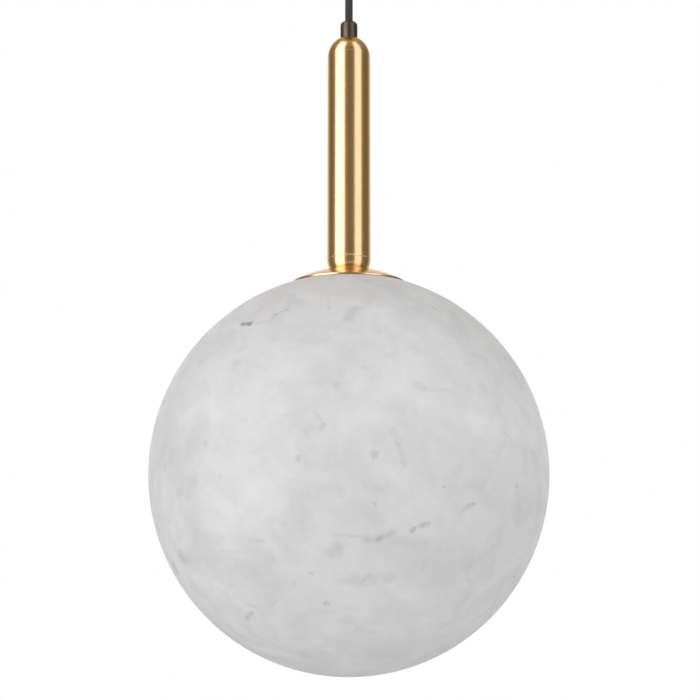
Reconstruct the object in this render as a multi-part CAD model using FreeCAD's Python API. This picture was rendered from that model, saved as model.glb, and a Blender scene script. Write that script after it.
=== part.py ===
"""Globe pendant lamp: a hollow alabaster globe under a long brass tube, hung on a textile cord.

Millimetres. The ceiling is the plane z = 0, the lamp hangs below it, and everything but the
wiring is centred on the Z axis. X runs along the ceiling bracket, and +Y is the back of the lamp.
"""

import FreeCAD
import Part
import math
import os

V = FreeCAD.Vector

# ---------------------------------------------------------------- driving dimensions

# Stone globe
GLOBE_D = 300.0
GLOBE_WALL = 10.0
MOUTH_D = 50.0
MOUTH_ROUND = 1.5

# Domed brass saucer that covers the globe's mouth
SAUCER_D = 88.0
SAUCER_CURVE_R = 94.0
SAUCER_T = 1.2
SAUCER_LAND_EDGE = 0.5

# Brass tube with a domed head and a rounded collar
TUBE_D = 34.0
TUBE_WALL = 1.5
TUBE_L = 161.0
COLLAR_BAND_H = 3.4
COLLAR_ROUND_H = 8.6
SPIGOT_L = 8.0
SPIGOT_WALL = 2.0
SEAM_BEVEL = 0.3
DOME_BOSS_D = 16.0
DOME_BOSS_BELOW = 1.5

# Cord and the two cord grips
CORD_D = 6.2
CORD_FREE = 50.0
GRIP_D = 13.7
GRIP_H = 14.0
GRIP_ROUND = 2.6
GRIP_FLARE = 0.5
GRIP_FLARE_DEPTH = 2.0
GRIP_SCREW_D = 3.0
GRIP_SCREW_AT = 6.0
GRIP_SCREW_SUNK = 0.3
GRIP_SCREW_SLOT_W = 0.6
GRIP_SCREW_SLOT_DEPTH = 0.75
SEAT_MARGIN = 0.35
SHANK_D = 10.0
SHANK_L = 8.0

# Ceiling cup, its bracket, side screws and lock nut
CUP_D = 105.0
CUP_H = 28.0
CUP_WALL = 1.2
CUP_EDGE_R = 8.0
CUP_RIM_GAP = 0.3
BRACKET_W = 22.0
BRACKET_T = 2.0
BRACKET_BEND_R = 2.5
EAR_H = 16.0
SLOT_SPACING = 76.0
SLOT_W = 5.0
SLOT_L = 14.0
SUPPLY_HOLE_D = 11.0
SUPPLY_HOLE_X = -16.0
SUPPLY_HOLE_Y = 3.5
SIDE_SCREW_D = 4.0
SIDE_SCREW_DROP = 10.0
SIDE_SCREW_IN = 5.0
THUMB_D = 8.0
THUMB_L = 5.0
THUMB_FLUTES = 14
THUMB_FLUTE_D = 0.9
LOCKNUT_AF = 14.0
LOCKNUT_H = 4.0

# Wiring in the ceiling cup
BLOCK_L = 20.0
BLOCK_W = 16.0
BLOCK_H = 12.0
BLOCK_X = 18.0
POLE_PITCH = 11.0
POLE_SIZE = 5.0
BLOCK_SCREW_D = 3.0
BLOCK_SCREW_HEAD_D = 5.5
BLOCK_SCREW_HEAD_H = 2.0
CLAMP_SCREW_D = 2.4
CLAMP_SCREW_FROM_END = 3.5
CLAMP_SCREW_SUNK = 1.0
CLAMP_END_GAP = 1.0
CROSS_SLOT_W = 1.0
EARTH_SCREW_D = 4.0
EARTH_SCREW_HEAD_D = 7.0
EARTH_SCREW_HEAD_H = 2.4
EARTH_SCREW_X = -27.0
EARTH_SCREW_Y = -5.8
EARTH_RING_D = 8.0
EARTH_RING_T = 0.8
EARTH_TONGUE_L = 7.2
EARTH_TONGUE_AT = 6.0
CORE_D = 1.8
CORE_CIRCLE_R = 1.25
CORE_BEND_R = 2.4
CORE_RISE = 3.6
CORE_CLIMB = 7.2
CORE_SHIFT = 1.8
LIVE_OUT = 3.6
NEUTRAL_OUT = 7.2
SHEATH_STUB = 1.0

# Hollow threaded rod that holds the lampholder
ROD_D = 10.0
ROD_BORE = 7.4
ROD_GAP = 1.0
STEADY_T = 4.0
STEADY_UP = 20.0
STEADY_HOLE_D = 7.0
STEADY_HOLES = 3
STEADY_TURN = 30.0

# Gallery: what clamps the globe between the saucer and two crossed plates
NIPPLE_D = 24.0
NIPPLE_BORE = 20.6
NIPPLE_UP = 9.0
NIPPLE_BELOW_NUT = 2.0
FLANGE_D = 26.4
FLANGE_T = 1.2
WASHER_T = 1.0
PLATE_L = 80.0
PLATE_W = 36.0
PLATE_T = 2.5
PAD_L = 9.0
PAD_W = 24.0
PAD_MIN_T = 2.5
PAD_END = 1.0
RING_NUT_AF = 30.0
RING_NUT_H = 4.0
GASKET_IN_D = 70.0
GASKET_OUT_D = 82.0

# Lampholder for a two-pin lamp
HOLDER_RISE = 45.0
HOLDER_D = 19.0
HOLDER_BODY_H = 20.0
HOLDER_CAP_H = 15.0
HOLDER_CAP_WALL = 1.2
HOLDER_CAP_TOP = 3.0
HOLDER_NECK_D = 15.0
HOLDER_NECK_H = 5.0
HOLDER_TONGUE_H = 6.0
HOLDER_SCREW_D = 2.4
PIN_PITCH = 9.0
PIN_SLOT_W = 2.0
PIN_SLOT_L = 7.0
PIN_SLOT_DEPTH = 13.0
CLIP_T = 0.3
CLIP_L = 9.0
CLIP_W = 4.6
LEAD_D = 1.4
LEAD_SPREAD = 1.4

# Two-pin LED lamp
BULB_D = 16.0
BULB_BASE_H = 14.0
BULB_COVER_L = 40.0
BULB_COVER_WALL = 0.8
BULB_PIN_D = 1.0
BULB_PIN_L = 10.0
BULB_PIN_LOOP = 2.2
BOARD_W = 9.0
BOARD_T = 1.2
BOARD_L = 32.0
BOARD_IN_BASE = 1.0
BOARD_MARGIN = 1.0
LED_COUNT = 7
LED_SIZE = 2.6
LED_T = 0.7

# Clearances
THREAD_FIT = 0.05
CORD_FIT = 0.2
SCREW_FIT = 0.1
SEAT_FIT = 0.05
GASKET_FIT = 0.3
BEND_FIT = 0.1
BEND_ROOM = 1.6
TOUCH_GAP = 0.02
EAR_FIT = 0.5

# ---------------------------------------------------------------- heights, from the ceiling down


def sphere_z(centre_z, radius, r):
    """Height of the upper half of a sphere on the Z axis, at distance r from that axis."""
    return centre_z + math.sqrt(radius * radius - r * r)


CORD_R = CORD_D / 2
TUBE_R = TUBE_D / 2
TUBE_IN_R = TUBE_R - TUBE_WALL
SPIGOT_R = TUBE_IN_R - THREAD_FIT
GLOBE_R = GLOBE_D / 2
GLOBE_IN_R = GLOBE_R - GLOBE_WALL
THREAD_BORE_R = SHANK_D / 2 + THREAD_FIT
SEAT_R = GRIP_D / 2 + SEAT_MARGIN
COLLAR_H = COLLAR_BAND_H + COLLAR_ROUND_H
COLLAR_FOOT_R = sphere_z(0, TUBE_R, COLLAR_ROUND_H)
LAND_R = COLLAR_FOOT_R + SAUCER_LAND_EDGE
SAUCER_R = SAUCER_D / 2
SAUCER_IN_CURVE_R = SAUCER_CURVE_R - SAUCER_T
NIPPLE_R = NIPPLE_D / 2
NIPPLE_HOLE_R = NIPPLE_R + SCREW_FIT
NIPPLE_THREAD_R = NIPPLE_R + THREAD_FIT
CLEAR_FLANGE_R = FLANGE_D / 2 + CORD_FIT

CUP_FLOOR_Z = -CUP_H
CORD_TOP_Z = CUP_FLOOR_Z - GRIP_H
CORD_FOOT_Z = CORD_TOP_Z - CORD_FREE
SEAT_Z = CORD_FOOT_Z - GRIP_H
TUBE_TOP_Z = SEAT_Z - sphere_z(0, TUBE_R, SEAT_R)
TUBE_FOOT_Z = TUBE_TOP_Z - TUBE_L
LAND_Z = TUBE_FOOT_Z - COLLAR_H
SAUCER_CENTRE_Z = LAND_Z - sphere_z(0, SAUCER_CURVE_R, LAND_R)
RIM_UNDER_Z = sphere_z(SAUCER_CENTRE_Z, SAUCER_IN_CURVE_R, SAUCER_R)
GLOBE_Z = RIM_UNDER_Z - SEAT_FIT - sphere_z(0, GLOBE_R, SAUCER_R)

PLATE_TOP_Z = sphere_z(GLOBE_Z, GLOBE_IN_R, PLATE_L / 2 - PAD_END) - PAD_MIN_T
LOWER_PLATE_TOP_Z = PLATE_TOP_Z - PLATE_T
RING_NUT_TOP_Z = LOWER_PLATE_TOP_Z - PLATE_T
NIPPLE_FOOT_Z = RING_NUT_TOP_Z - RING_NUT_H - NIPPLE_BELOW_NUT

HOLDER_FACE_Z = GLOBE_Z + HOLDER_RISE
HOLDER_BODY_TOP_Z = HOLDER_FACE_Z + HOLDER_BODY_H
HOLDER_CAP_TOP_Z = HOLDER_BODY_TOP_Z + HOLDER_CAP_H
ROD_TOP_Z = SEAT_Z - SHANK_L - ROD_GAP
ROD_FOOT_Z = HOLDER_CAP_TOP_Z - HOLDER_CAP_TOP - ROD_GAP
SHEATH_END_Z = ROD_FOOT_Z - SHEATH_STUB
CUP_SHEATH_END_Z = CUP_FLOOR_Z + SHANK_L + SHEATH_STUB


# ---------------------------------------------------------------- shapes used by several pieces


def save(name, *solids):
    """Writes one named piece, or a group of like pieces, as a STEP file."""
    shape = solids[0] if len(solids) == 1 else Part.makeCompound(list(solids))
    shape.exportStep("parts/" + name + ".step")


def turned(start, *steps):
    """Solid turned about Z from a closed outline in (r, z).

    A step is the next corner, or a pair of points for an arc: one it passes and its end.
    """
    edges = []
    here = V(start[0], 0, start[1])
    for step in steps + (start,):
        if isinstance(step[0], tuple):
            through = V(step[0][0], 0, step[0][1])
            end = V(step[1][0], 0, step[1][1])
            edges.append(Part.Arc(here, through, end).toShape())
        else:
            end = V(step[0], 0, step[1])
            edges.append(Part.makeLine(here, end))
        here = end
    return Part.Face(Part.Wire(edges)).revolve(V(0, 0, 0), V(0, 0, 1), 360)


def sphere_arc(centre_z, radius, r_from, r_to):
    """Arc step for turned() along the upper half of a sphere on the axis, ending at r_to."""
    r_mid = (r_from + r_to) / 2
    return ((r_mid, sphere_z(centre_z, radius, r_mid)), (r_to, sphere_z(centre_z, radius, r_to)))


def corner_arc(centre_r, centre_z, radius, out, up):
    """Arc step round a quarter corner, from the side of the centre to above or below it.

    out is +1 when the corner faces away from the axis; up is +1 for a top edge, -1 for a bottom.
    """
    slant = radius * math.sqrt(0.5)
    middle = (centre_r + out * slant, centre_z + up * slant)
    return (middle, (centre_r, centre_z + up * radius))


def bar(radius, z_low, z_high, x=0.0, y=0.0):
    """Round bar along Z."""
    return Part.makeCylinder(radius, z_high - z_low, V(x, y, z_low))


def cross_bar(radius, start, end):
    """Round bar between any two points."""
    return Part.makeCylinder(radius, (end - start).Length, start, end - start)


def sleeve(outer_r, inner_r, z_low, z_high):
    """Plain tube along Z."""
    return bar(outer_r, z_low, z_high).cut(bar(inner_r, z_low, z_high))


def block(x_size, y_size, z_low, z_high, x=0.0, y=0.0):
    """Box with its centre over (x, y)."""
    corner = V(x - x_size / 2, y - y_size / 2, z_low)
    return Part.makeBox(x_size, y_size, z_high - z_low, corner)


def hexagon(across_flats, bore_r, z_low, z_high):
    """Hexagon nut along Z."""
    corner_r = across_flats / math.sqrt(3)
    corners = [V(corner_r, 0, z_low)]
    for side in range(1, 7):
        angle = math.radians(60 * side)
        corners.append(V(corner_r * math.cos(angle), corner_r * math.sin(angle), z_low))
    prism = Part.Face(Part.makePolygon(corners)).extrude(V(0, 0, z_high - z_low))
    return prism.cut(bar(bore_r, z_low, z_high))


def slot_bar(length, width, z_low, z_high, x=0.0):
    """Round-ended slot or strip along X, centred over (x, 0)."""
    straight = length - width
    shape = block(straight, width, z_low, z_high, x)
    for side in (-1, 1):
        shape = shape.fuse(bar(width / 2, z_low, z_high, x + side * straight / 2))
    return shape.removeSplitter()


def bent_wire(points, bend_r, radius, name):
    """Round wire along straight runs that are joined by tangent arcs of bend_r."""
    edges = []
    here = points[0]
    for i in range(1, len(points) - 1):
        before = (points[i - 1] - points[i]).normalize()
        after = (points[i + 1] - points[i]).normalize()
        half = before.getAngle(after) / 2
        reach = bend_r / math.tan(half)
        arc_in = points[i] + before * reach
        arc_out = points[i] + after * reach
        inward = (before + after).normalize()
        middle = points[i] + inward * (bend_r / math.sin(half) - bend_r)
        edges.append(Part.makeLine(here, arc_in))
        edges.append(Part.Arc(arc_in, middle, arc_out).toShape())
        here = arc_out
    edges.append(Part.makeLine(here, points[-1]))
    path = Part.Wire(edges)
    ring = Part.Wire(Part.makeCircle(radius, points[0], points[1] - points[0]))
    wire = path.makePipeShell([ring], True, True)
    plain_volume = math.pi * radius * radius * path.Length
    print(f"{name}: bend {bend_r:.1f}, volume / section x length = {wire.Volume / plain_volume:.4f}")
    return wire


# ---------------------------------------------------------------- ceiling set


def ceiling_bracket():
    """Steel strip with two slots for the ceiling screws and two ears for the cup's side screws."""
    cup_reach = CUP_D / 2 - CUP_WALL - EAR_FIT
    ear_x = sphere_z(0, cup_reach, BRACKET_W / 2)
    outer = block(2 * ear_x, BRACKET_W, -EAR_H, 0)
    inner = block(2 * (ear_x - BRACKET_T), BRACKET_W, -EAR_H, -BRACKET_T)
    at_ceiling = [e for e in outer.Edges if abs(e.CenterOfMass.z) < TOUCH_GAP]
    bends = [e for e in at_ceiling if abs(e.CenterOfMass.x) > ear_x / 2]
    strip = outer.makeFillet(BRACKET_BEND_R, bends).cut(inner)
    for side in (-1, 1):
        strip = strip.cut(slot_bar(SLOT_L, SLOT_W, -BRACKET_T, 0, side * SLOT_SPACING / 2))
        screw_from = V(side * (ear_x - BRACKET_T), 0, -SIDE_SCREW_DROP)
        screw_to = V(side * ear_x, 0, -SIDE_SCREW_DROP)
        strip = strip.cut(cross_bar(SIDE_SCREW_D / 2 + THREAD_FIT, screw_from, screw_to))
    strip = strip.cut(bar(SUPPLY_HOLE_D / 2, -BRACKET_T, 0, SUPPLY_HOLE_X, SUPPLY_HOLE_Y))
    strip = strip.cut(bar(BLOCK_SCREW_D / 2 + THREAD_FIT, -BRACKET_T, 0, BLOCK_X))
    strip = strip.cut(bar(EARTH_SCREW_D / 2 + THREAD_FIT, -BRACKET_T, 0, EARTH_SCREW_X, EARTH_SCREW_Y))
    return strip


def ceiling_cup():
    """Spun brass cup that covers the wiring, open at the ceiling."""
    outer_r = CUP_D / 2
    inner_r = outer_r - CUP_WALL
    corner_r = outer_r - CUP_EDGE_R
    corner_z = CUP_FLOOR_Z + CUP_EDGE_R
    inner_edge_r = CUP_EDGE_R - CUP_WALL
    slant = math.sqrt(0.5)
    cup = turned(
        (SHANK_D / 2 + SCREW_FIT, CUP_FLOOR_Z),
        (corner_r, CUP_FLOOR_Z),
        ((corner_r + CUP_EDGE_R * slant, corner_z - CUP_EDGE_R * slant), (outer_r, corner_z)),
        (outer_r, -CUP_RIM_GAP),
        (inner_r, -CUP_RIM_GAP),
        (inner_r, corner_z),
        corner_arc(corner_r, corner_z, inner_edge_r, 1, -1),
        (SHANK_D / 2 + SCREW_FIT, CUP_FLOOR_Z + CUP_WALL),
    )
    through = cross_bar(
        SIDE_SCREW_D / 2 + SCREW_FIT, V(-outer_r, 0, -SIDE_SCREW_DROP), V(outer_r, 0, -SIDE_SCREW_DROP)
    )
    return cup.cut(through)


def side_screw(side):
    """Knurled brass screw through the cup's wall into an ear of the bracket."""
    head_at = CUP_D / 2
    tip = V(side * (head_at - SIDE_SCREW_IN - CUP_WALL), 0, -SIDE_SCREW_DROP)
    under = V(side * head_at, 0, -SIDE_SCREW_DROP)
    top = V(side * (head_at + THUMB_L), 0, -SIDE_SCREW_DROP)
    head = cross_bar(THUMB_D / 2, under, top)
    for i in range(THUMB_FLUTES):
        angle = 2 * math.pi * i / THUMB_FLUTES
        offset = V(0, math.cos(angle), math.sin(angle)) * (THUMB_D / 2)
        head = head.cut(cross_bar(THUMB_FLUTE_D / 2, under + offset, top + offset))
    return head.fuse(cross_bar(SIDE_SCREW_D / 2, tip, under)).removeSplitter()


def cord_grip(seat_z, away):
    """Turned bronze cord grip on a seat; away is +1 or -1, the side its rounded end points to."""

    def at(height):
        return seat_z + away * height

    grip_r = GRIP_D / 2
    bore_r = CORD_R + CORD_FIT
    mouth_r = bore_r + GRIP_FLARE
    grip = turned(
        (bore_r, at(-SHANK_L)),
        (SHANK_D / 2, at(-SHANK_L)),
        (SHANK_D / 2, at(0)),
        (grip_r, at(0)),
        (grip_r, at(GRIP_H - GRIP_ROUND)),
        corner_arc(grip_r - GRIP_ROUND, at(GRIP_H - GRIP_ROUND), GRIP_ROUND, 1, away),
        (mouth_r, at(GRIP_H)),
        (mouth_r, at(GRIP_H - GRIP_FLARE_DEPTH)),
        (bore_r, at(GRIP_H - GRIP_FLARE_DEPTH)),
    )
    screw_z = at(GRIP_SCREW_AT)
    hole = cross_bar(GRIP_SCREW_D / 2 + THREAD_FIT, V(0, 0, screw_z), V(0, grip_r, screw_z))
    return grip.cut(hole)


def grip_screw(seat_z, away):
    """Slotted grub screw in the back of a cord grip, with its tip on the cord."""
    screw_z = seat_z + away * GRIP_SCREW_AT
    tip_y = CORD_R + TOUCH_GAP
    end_y = GRIP_D / 2 - GRIP_SCREW_SUNK
    screw = cross_bar(GRIP_SCREW_D / 2, V(0, tip_y, screw_z), V(0, end_y, screw_z))
    slot_y = end_y - GRIP_SCREW_SLOT_DEPTH
    corner = V(-GRIP_SCREW_D / 2, slot_y, screw_z - GRIP_SCREW_SLOT_W / 2)
    return screw.cut(Part.makeBox(GRIP_SCREW_D, GRIP_SCREW_SLOT_DEPTH, GRIP_SCREW_SLOT_W, corner))


def pole_x(pole):
    """X of a pole of the terminal block; pole is -1 for the near one and +1 for the far one."""
    return BLOCK_X + pole * POLE_PITCH / 2


def pole_z():
    """Height of the middle of the terminal block's metal clamps."""
    return -BRACKET_T - BLOCK_H / 2


def clamp_screw_places():
    """(x, y) of the terminal block's four clamp screws."""
    y = BLOCK_W / 2 - CLAMP_SCREW_FROM_END
    return [(pole_x(pole), side * y) for pole in (-1, 1) for side in (-1, 1)]


def terminal_block():
    """Moulded two-pole block under the bracket, with a channel for each metal clamp."""
    foot_z = -BRACKET_T - BLOCK_H
    body = block(BLOCK_L, BLOCK_W, foot_z, -BRACKET_T, BLOCK_X)
    half = POLE_SIZE / 2 + TOUCH_GAP
    for pole in (-1, 1):
        body = body.cut(block(2 * half, BLOCK_W, pole_z() - half, pole_z() + half, pole_x(pole)))
    for x, y in clamp_screw_places():
        body = body.cut(bar(CLAMP_SCREW_D / 2 + SCREW_FIT, foot_z, pole_z(), x, y))
    body = body.cut(bar(BLOCK_SCREW_D / 2 + SCREW_FIT, foot_z, -BRACKET_T, BLOCK_X))
    head_r = BLOCK_SCREW_HEAD_D / 2 + SCREW_FIT
    return body.cut(bar(head_r, foot_z, foot_z + BLOCK_SCREW_HEAD_H, BLOCK_X))


def terminal_clamps():
    """Two brass clamps, each bored for the wires and tapped for two screws."""
    clamps = []
    for pole in (-1, 1):
        half = POLE_SIZE / 2
        length = BLOCK_W - 2 * CLAMP_END_GAP
        clamp = block(POLE_SIZE, length, pole_z() - half, pole_z() + half, pole_x(pole))
        wire_from = V(pole_x(pole), -BLOCK_W / 2, pole_z())
        wire_to = V(pole_x(pole), BLOCK_W / 2, pole_z())
        clamp = clamp.cut(cross_bar(CORE_D / 2 + CORD_FIT, wire_from, wire_to))
        for x, y in clamp_screw_places():
            clamp = clamp.cut(bar(CLAMP_SCREW_D / 2 + THREAD_FIT, pole_z() - half, pole_z(), x, y))
        clamps.append(clamp)
    return clamps


def terminal_screws():
    """Four small slotted screws that press the wires into the clamps."""
    top_z = pole_z() - CORE_D / 2 - CORD_FIT
    foot_z = -BRACKET_T - BLOCK_H + CLAMP_SCREW_SUNK
    return [bar(CLAMP_SCREW_D / 2, foot_z, top_z, x, y) for x, y in clamp_screw_places()]


def pan_screw(shank_d, shank_top_z, under_z, head_d, head_h, x, y=0.0):
    """Pan-head screw driven upwards, with a cross slot in its head."""
    head = bar(head_d / 2, under_z - head_h, under_z, x, y)
    for size in ((head_d, CROSS_SLOT_W), (CROSS_SLOT_W, head_d)):
        head = head.cut(block(size[0], size[1], under_z - head_h, under_z - head_h / 2, x, y))
    return head.fuse(bar(shank_d / 2, under_z, shank_top_z, x, y)).removeSplitter()


def core_start(index):
    """Where a core leaves the sheath in the cup: three cores lie in a triangle."""
    angle = math.radians(-30 + 120 * index)
    return V(CORE_CIRCLE_R * math.cos(angle), CORE_CIRCLE_R * math.sin(angle), CUP_SHEATH_END_Z)


def supply_core(index, pole, step_out, name):
    """Live or neutral core: up out of the sheath, round the block's end, into its clamp."""
    start = core_start(index)
    out_y = -BLOCK_W / 2 - step_out
    points = [
        start,
        start + V(0, 0, CORE_RISE),
        V(start.x + CORE_SHIFT, out_y, CUP_SHEATH_END_Z + CORE_CLIMB),
        V(pole_x(pole), out_y - TOUCH_GAP, pole_z()),
        V(pole_x(pole), -BLOCK_W / 2 + CLAMP_SCREW_FROM_END, pole_z()),
    ]
    return bent_wire(points, CORE_BEND_R, CORE_D / 2, name)


def earth_core():
    """Earth core from the sheath to the ring terminal under the bracket's earth screw."""
    start = core_start(1)
    lie_z = -BRACKET_T - EARTH_RING_T - CORE_D / 2
    end = V(EARTH_SCREW_X + EARTH_RING_D, EARTH_SCREW_Y, lie_z)
    points = [
        start,
        start + V(0, 0, CORE_RISE),
        end + V(2 * CORE_BEND_R + CORE_D, 0, -2 * CORE_BEND_R),
        end + V(CORE_BEND_R, 0, 0),
        end - V(EARTH_RING_D / 2, 0, 0),
    ]
    core = bent_wire(points, CORE_BEND_R, CORE_D / 2, "earth_core")
    ring_z = -BRACKET_T - EARTH_RING_T
    ring = bar(EARTH_RING_D / 2, ring_z, -BRACKET_T, EARTH_SCREW_X, EARTH_SCREW_Y)
    tongue_x = EARTH_SCREW_X + EARTH_TONGUE_AT
    tongue = block(EARTH_TONGUE_L, CORE_D, ring_z - CORE_D / 2, -BRACKET_T, tongue_x, EARTH_SCREW_Y)
    head = bar(EARTH_SCREW_HEAD_D / 2 + CORD_FIT, ring_z - CORE_D, ring_z, EARTH_SCREW_X, EARTH_SCREW_Y)
    hole = bar(EARTH_SCREW_D / 2 + SCREW_FIT, ring_z, -BRACKET_T, EARTH_SCREW_X, EARTH_SCREW_Y)
    return core.fuse(tongue).cut(head).fuse(ring).cut(hole)


def build_ceiling_set():
    save("ceiling_bracket", ceiling_bracket())
    save("ceiling_cup", ceiling_cup())
    save("cup_side_screws", side_screw(-1), side_screw(1))
    save("cup_cord_grip", cord_grip(CUP_FLOOR_Z, -1))
    save("cup_grip_screw", grip_screw(CUP_FLOOR_Z, -1))
    nut_z = CUP_FLOOR_Z + CUP_WALL
    save("cup_locknut", hexagon(LOCKNUT_AF, THREAD_BORE_R, nut_z, nut_z + LOCKNUT_H))
    save("terminal_block", terminal_block())
    save("terminal_clamps", *terminal_clamps())
    save("terminal_screws", *terminal_screws())
    foot_z = -BRACKET_T - BLOCK_H + BLOCK_SCREW_HEAD_H
    save(
        "block_screw",
        pan_screw(BLOCK_SCREW_D, -TOUCH_GAP, foot_z, BLOCK_SCREW_HEAD_D, BLOCK_SCREW_HEAD_H, BLOCK_X),
    )
    save(
        "earth_screw",
        pan_screw(
            EARTH_SCREW_D,
            -TOUCH_GAP,
            -BRACKET_T - EARTH_RING_T,
            EARTH_SCREW_HEAD_D,
            EARTH_SCREW_HEAD_H,
            EARTH_SCREW_X,
            EARTH_SCREW_Y,
        ),
    )
    save("live_core", supply_core(0, -1, LIVE_OUT, "live_core"))
    save("neutral_core", supply_core(2, 1, NEUTRAL_OUT, "neutral_core"))
    save("earth_core", earth_core())


# ---------------------------------------------------------------- cord


def build_cord():
    """The cord in the cup's grip, the point where it bends, and the free stretch below."""
    bend = V(0, 0, CORD_TOP_Z)
    socket = Part.makeSphere(CORD_R + BEND_FIT, bend)
    save("cord_top_end", bar(CORD_R, CORD_TOP_Z, CUP_SHEATH_END_Z).cut(socket))
    save("cord_bend", Part.makeSphere(CORD_R, bend))
    save("pendant_cord", bar(CORD_R, CORD_FOOT_Z, CORD_TOP_Z - BEND_ROOM).cut(socket))


# ---------------------------------------------------------------- tube


def tube_dome():
    """Turned brass head: outside hemisphere, flat seat, tapped boss and a spigot for the tube."""
    inner_r = SPIGOT_R - SPIGOT_WALL
    boss_r = DOME_BOSS_D / 2
    boss_foot_z = TUBE_TOP_Z - DOME_BOSS_BELOW
    spigot_foot_z = TUBE_TOP_Z - SPIGOT_L
    return turned(
        (THREAD_BORE_R, SEAT_Z),
        (SEAT_R, SEAT_Z),
        sphere_arc(TUBE_TOP_Z, TUBE_R, SEAT_R, TUBE_R),
        (SPIGOT_R, TUBE_TOP_Z),
        (SPIGOT_R, spigot_foot_z),
        (inner_r, spigot_foot_z),
        (inner_r, TUBE_TOP_Z),
        sphere_arc(TUBE_TOP_Z, inner_r, inner_r, boss_r),
        (boss_r, boss_foot_z),
        (THREAD_BORE_R, boss_foot_z),
    )


def holder_tube():
    """Brushed brass tube; bevelled ends make the fine seams against the dome and the collar."""
    return turned(
        (TUBE_IN_R, TUBE_FOOT_Z),
        (TUBE_R - SEAM_BEVEL, TUBE_FOOT_Z),
        (TUBE_R, TUBE_FOOT_Z + SEAM_BEVEL),
        (TUBE_R, TUBE_TOP_Z - SEAM_BEVEL),
        (TUBE_R - SEAM_BEVEL, TUBE_TOP_Z),
        (TUBE_IN_R, TUBE_TOP_Z),
    )


def tube_collar():
    """Turned brass foot: a band, a scribed line, a rounded edge and a thread for the gallery."""
    round_z = LAND_Z + COLLAR_ROUND_H
    recess_z = LAND_Z + FLANGE_T + WASHER_T
    mid_drop = COLLAR_ROUND_H / 2
    return turned(
        (NIPPLE_THREAD_R, TUBE_FOOT_Z + SPIGOT_L),
        (SPIGOT_R, TUBE_FOOT_Z + SPIGOT_L),
        (SPIGOT_R, TUBE_FOOT_Z),
        (TUBE_R, TUBE_FOOT_Z),
        (TUBE_R, round_z + SEAM_BEVEL),
        (TUBE_R - SEAM_BEVEL, round_z + SEAM_BEVEL / 2),
        (TUBE_R, round_z),
        ((sphere_z(0, TUBE_R, mid_drop), round_z - mid_drop), (COLLAR_FOOT_R, LAND_Z)),
        (CLEAR_FLANGE_R, LAND_Z),
        (CLEAR_FLANGE_R, recess_z),
        (NIPPLE_THREAD_R, recess_z),
    )


def rod_steady():
    """Disc in the tube that keeps the threaded rod on the axis."""
    foot_z = TUBE_FOOT_Z + STEADY_UP
    disc = sleeve(SPIGOT_R, THREAD_BORE_R, foot_z, foot_z + STEADY_T)
    hole_circle_r = (SPIGOT_R + THREAD_BORE_R) / 2
    for i in range(STEADY_HOLES):
        angle = math.radians(STEADY_TURN + 360 * i / STEADY_HOLES)
        x = hole_circle_r * math.cos(angle)
        y = hole_circle_r * math.sin(angle)
        disc = disc.cut(bar(STEADY_HOLE_D / 2, foot_z, foot_z + STEADY_T, x, y))
    return disc


def build_tube():
    save("lamp_cord_grip", cord_grip(SEAT_Z, 1))
    save("lamp_grip_screw", grip_screw(SEAT_Z, 1))
    save("tube_dome", tube_dome())
    save("holder_tube", holder_tube())
    save("tube_collar", tube_collar())
    save("threaded_rod", sleeve(ROD_D / 2, ROD_BORE / 2, ROD_FOOT_Z, ROD_TOP_Z))
    save("rod_steady", rod_steady())
    save("cord_in_rod", bar(CORD_R, SHEATH_END_Z, CORD_FOOT_Z))


# ---------------------------------------------------------------- globe and gallery


def alabaster_globe():
    """Hollow turned stone sphere with one round mouth at the top."""
    centre = V(0, 0, GLOBE_Z)
    shell = Part.makeSphere(GLOBE_R, centre).cut(Part.makeSphere(GLOBE_IN_R, centre))
    shell = shell.cut(bar(MOUTH_D / 2, GLOBE_Z, GLOBE_Z + GLOBE_D))
    level = [e for e in shell.Edges if e.BoundBox.ZLength < TOUCH_GAP]
    lip = [e for e in level if abs(e.BoundBox.XLength - MOUTH_D) < TOUCH_GAP]
    return shell.makeFillet(MOUTH_ROUND, lip)


def saucer_cap():
    """Spun brass saucer: a flat land under the collar, then a dome down to the stone."""
    land_under_z = LAND_Z - SAUCER_T
    rise = land_under_z - SAUCER_CENTRE_Z
    land_in_r = math.sqrt(SAUCER_IN_CURVE_R**2 - rise**2)
    return turned(
        (NIPPLE_HOLE_R, LAND_Z),
        (LAND_R, LAND_Z),
        sphere_arc(SAUCER_CENTRE_Z, SAUCER_CURVE_R, LAND_R, SAUCER_R),
        (SAUCER_R, RIM_UNDER_Z),
        sphere_arc(SAUCER_CENTRE_Z, SAUCER_IN_CURVE_R, SAUCER_R, land_in_r),
        (NIPPLE_HOLE_R, land_under_z),
    )


def rim_gasket():
    """Soft ring between the saucer's underside and the stone, near the rim."""
    ring = sleeve(GASKET_OUT_D / 2, GASKET_IN_D / 2, GLOBE_Z, LAND_Z)
    under_saucer = Part.makeSphere(SAUCER_IN_CURVE_R - GASKET_FIT, V(0, 0, SAUCER_CENTRE_Z))
    stone = Part.makeSphere(GLOBE_R + GASKET_FIT, V(0, 0, GLOBE_Z))
    return ring.common(under_saucer).cut(stone)


def gallery_nipple():
    """Hollow threaded nipple; its flange sits on the saucer and its top screws into the collar."""
    return turned(
        (NIPPLE_BORE / 2, NIPPLE_FOOT_Z),
        (NIPPLE_R, NIPPLE_FOOT_Z),
        (NIPPLE_R, LAND_Z),
        (FLANGE_D / 2, LAND_Z),
        (FLANGE_D / 2, LAND_Z + FLANGE_T),
        (NIPPLE_R, LAND_Z + FLANGE_T),
        (NIPPLE_R, LAND_Z + NIPPLE_UP),
        (NIPPLE_BORE / 2, LAND_Z + NIPPLE_UP),
    )


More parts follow.
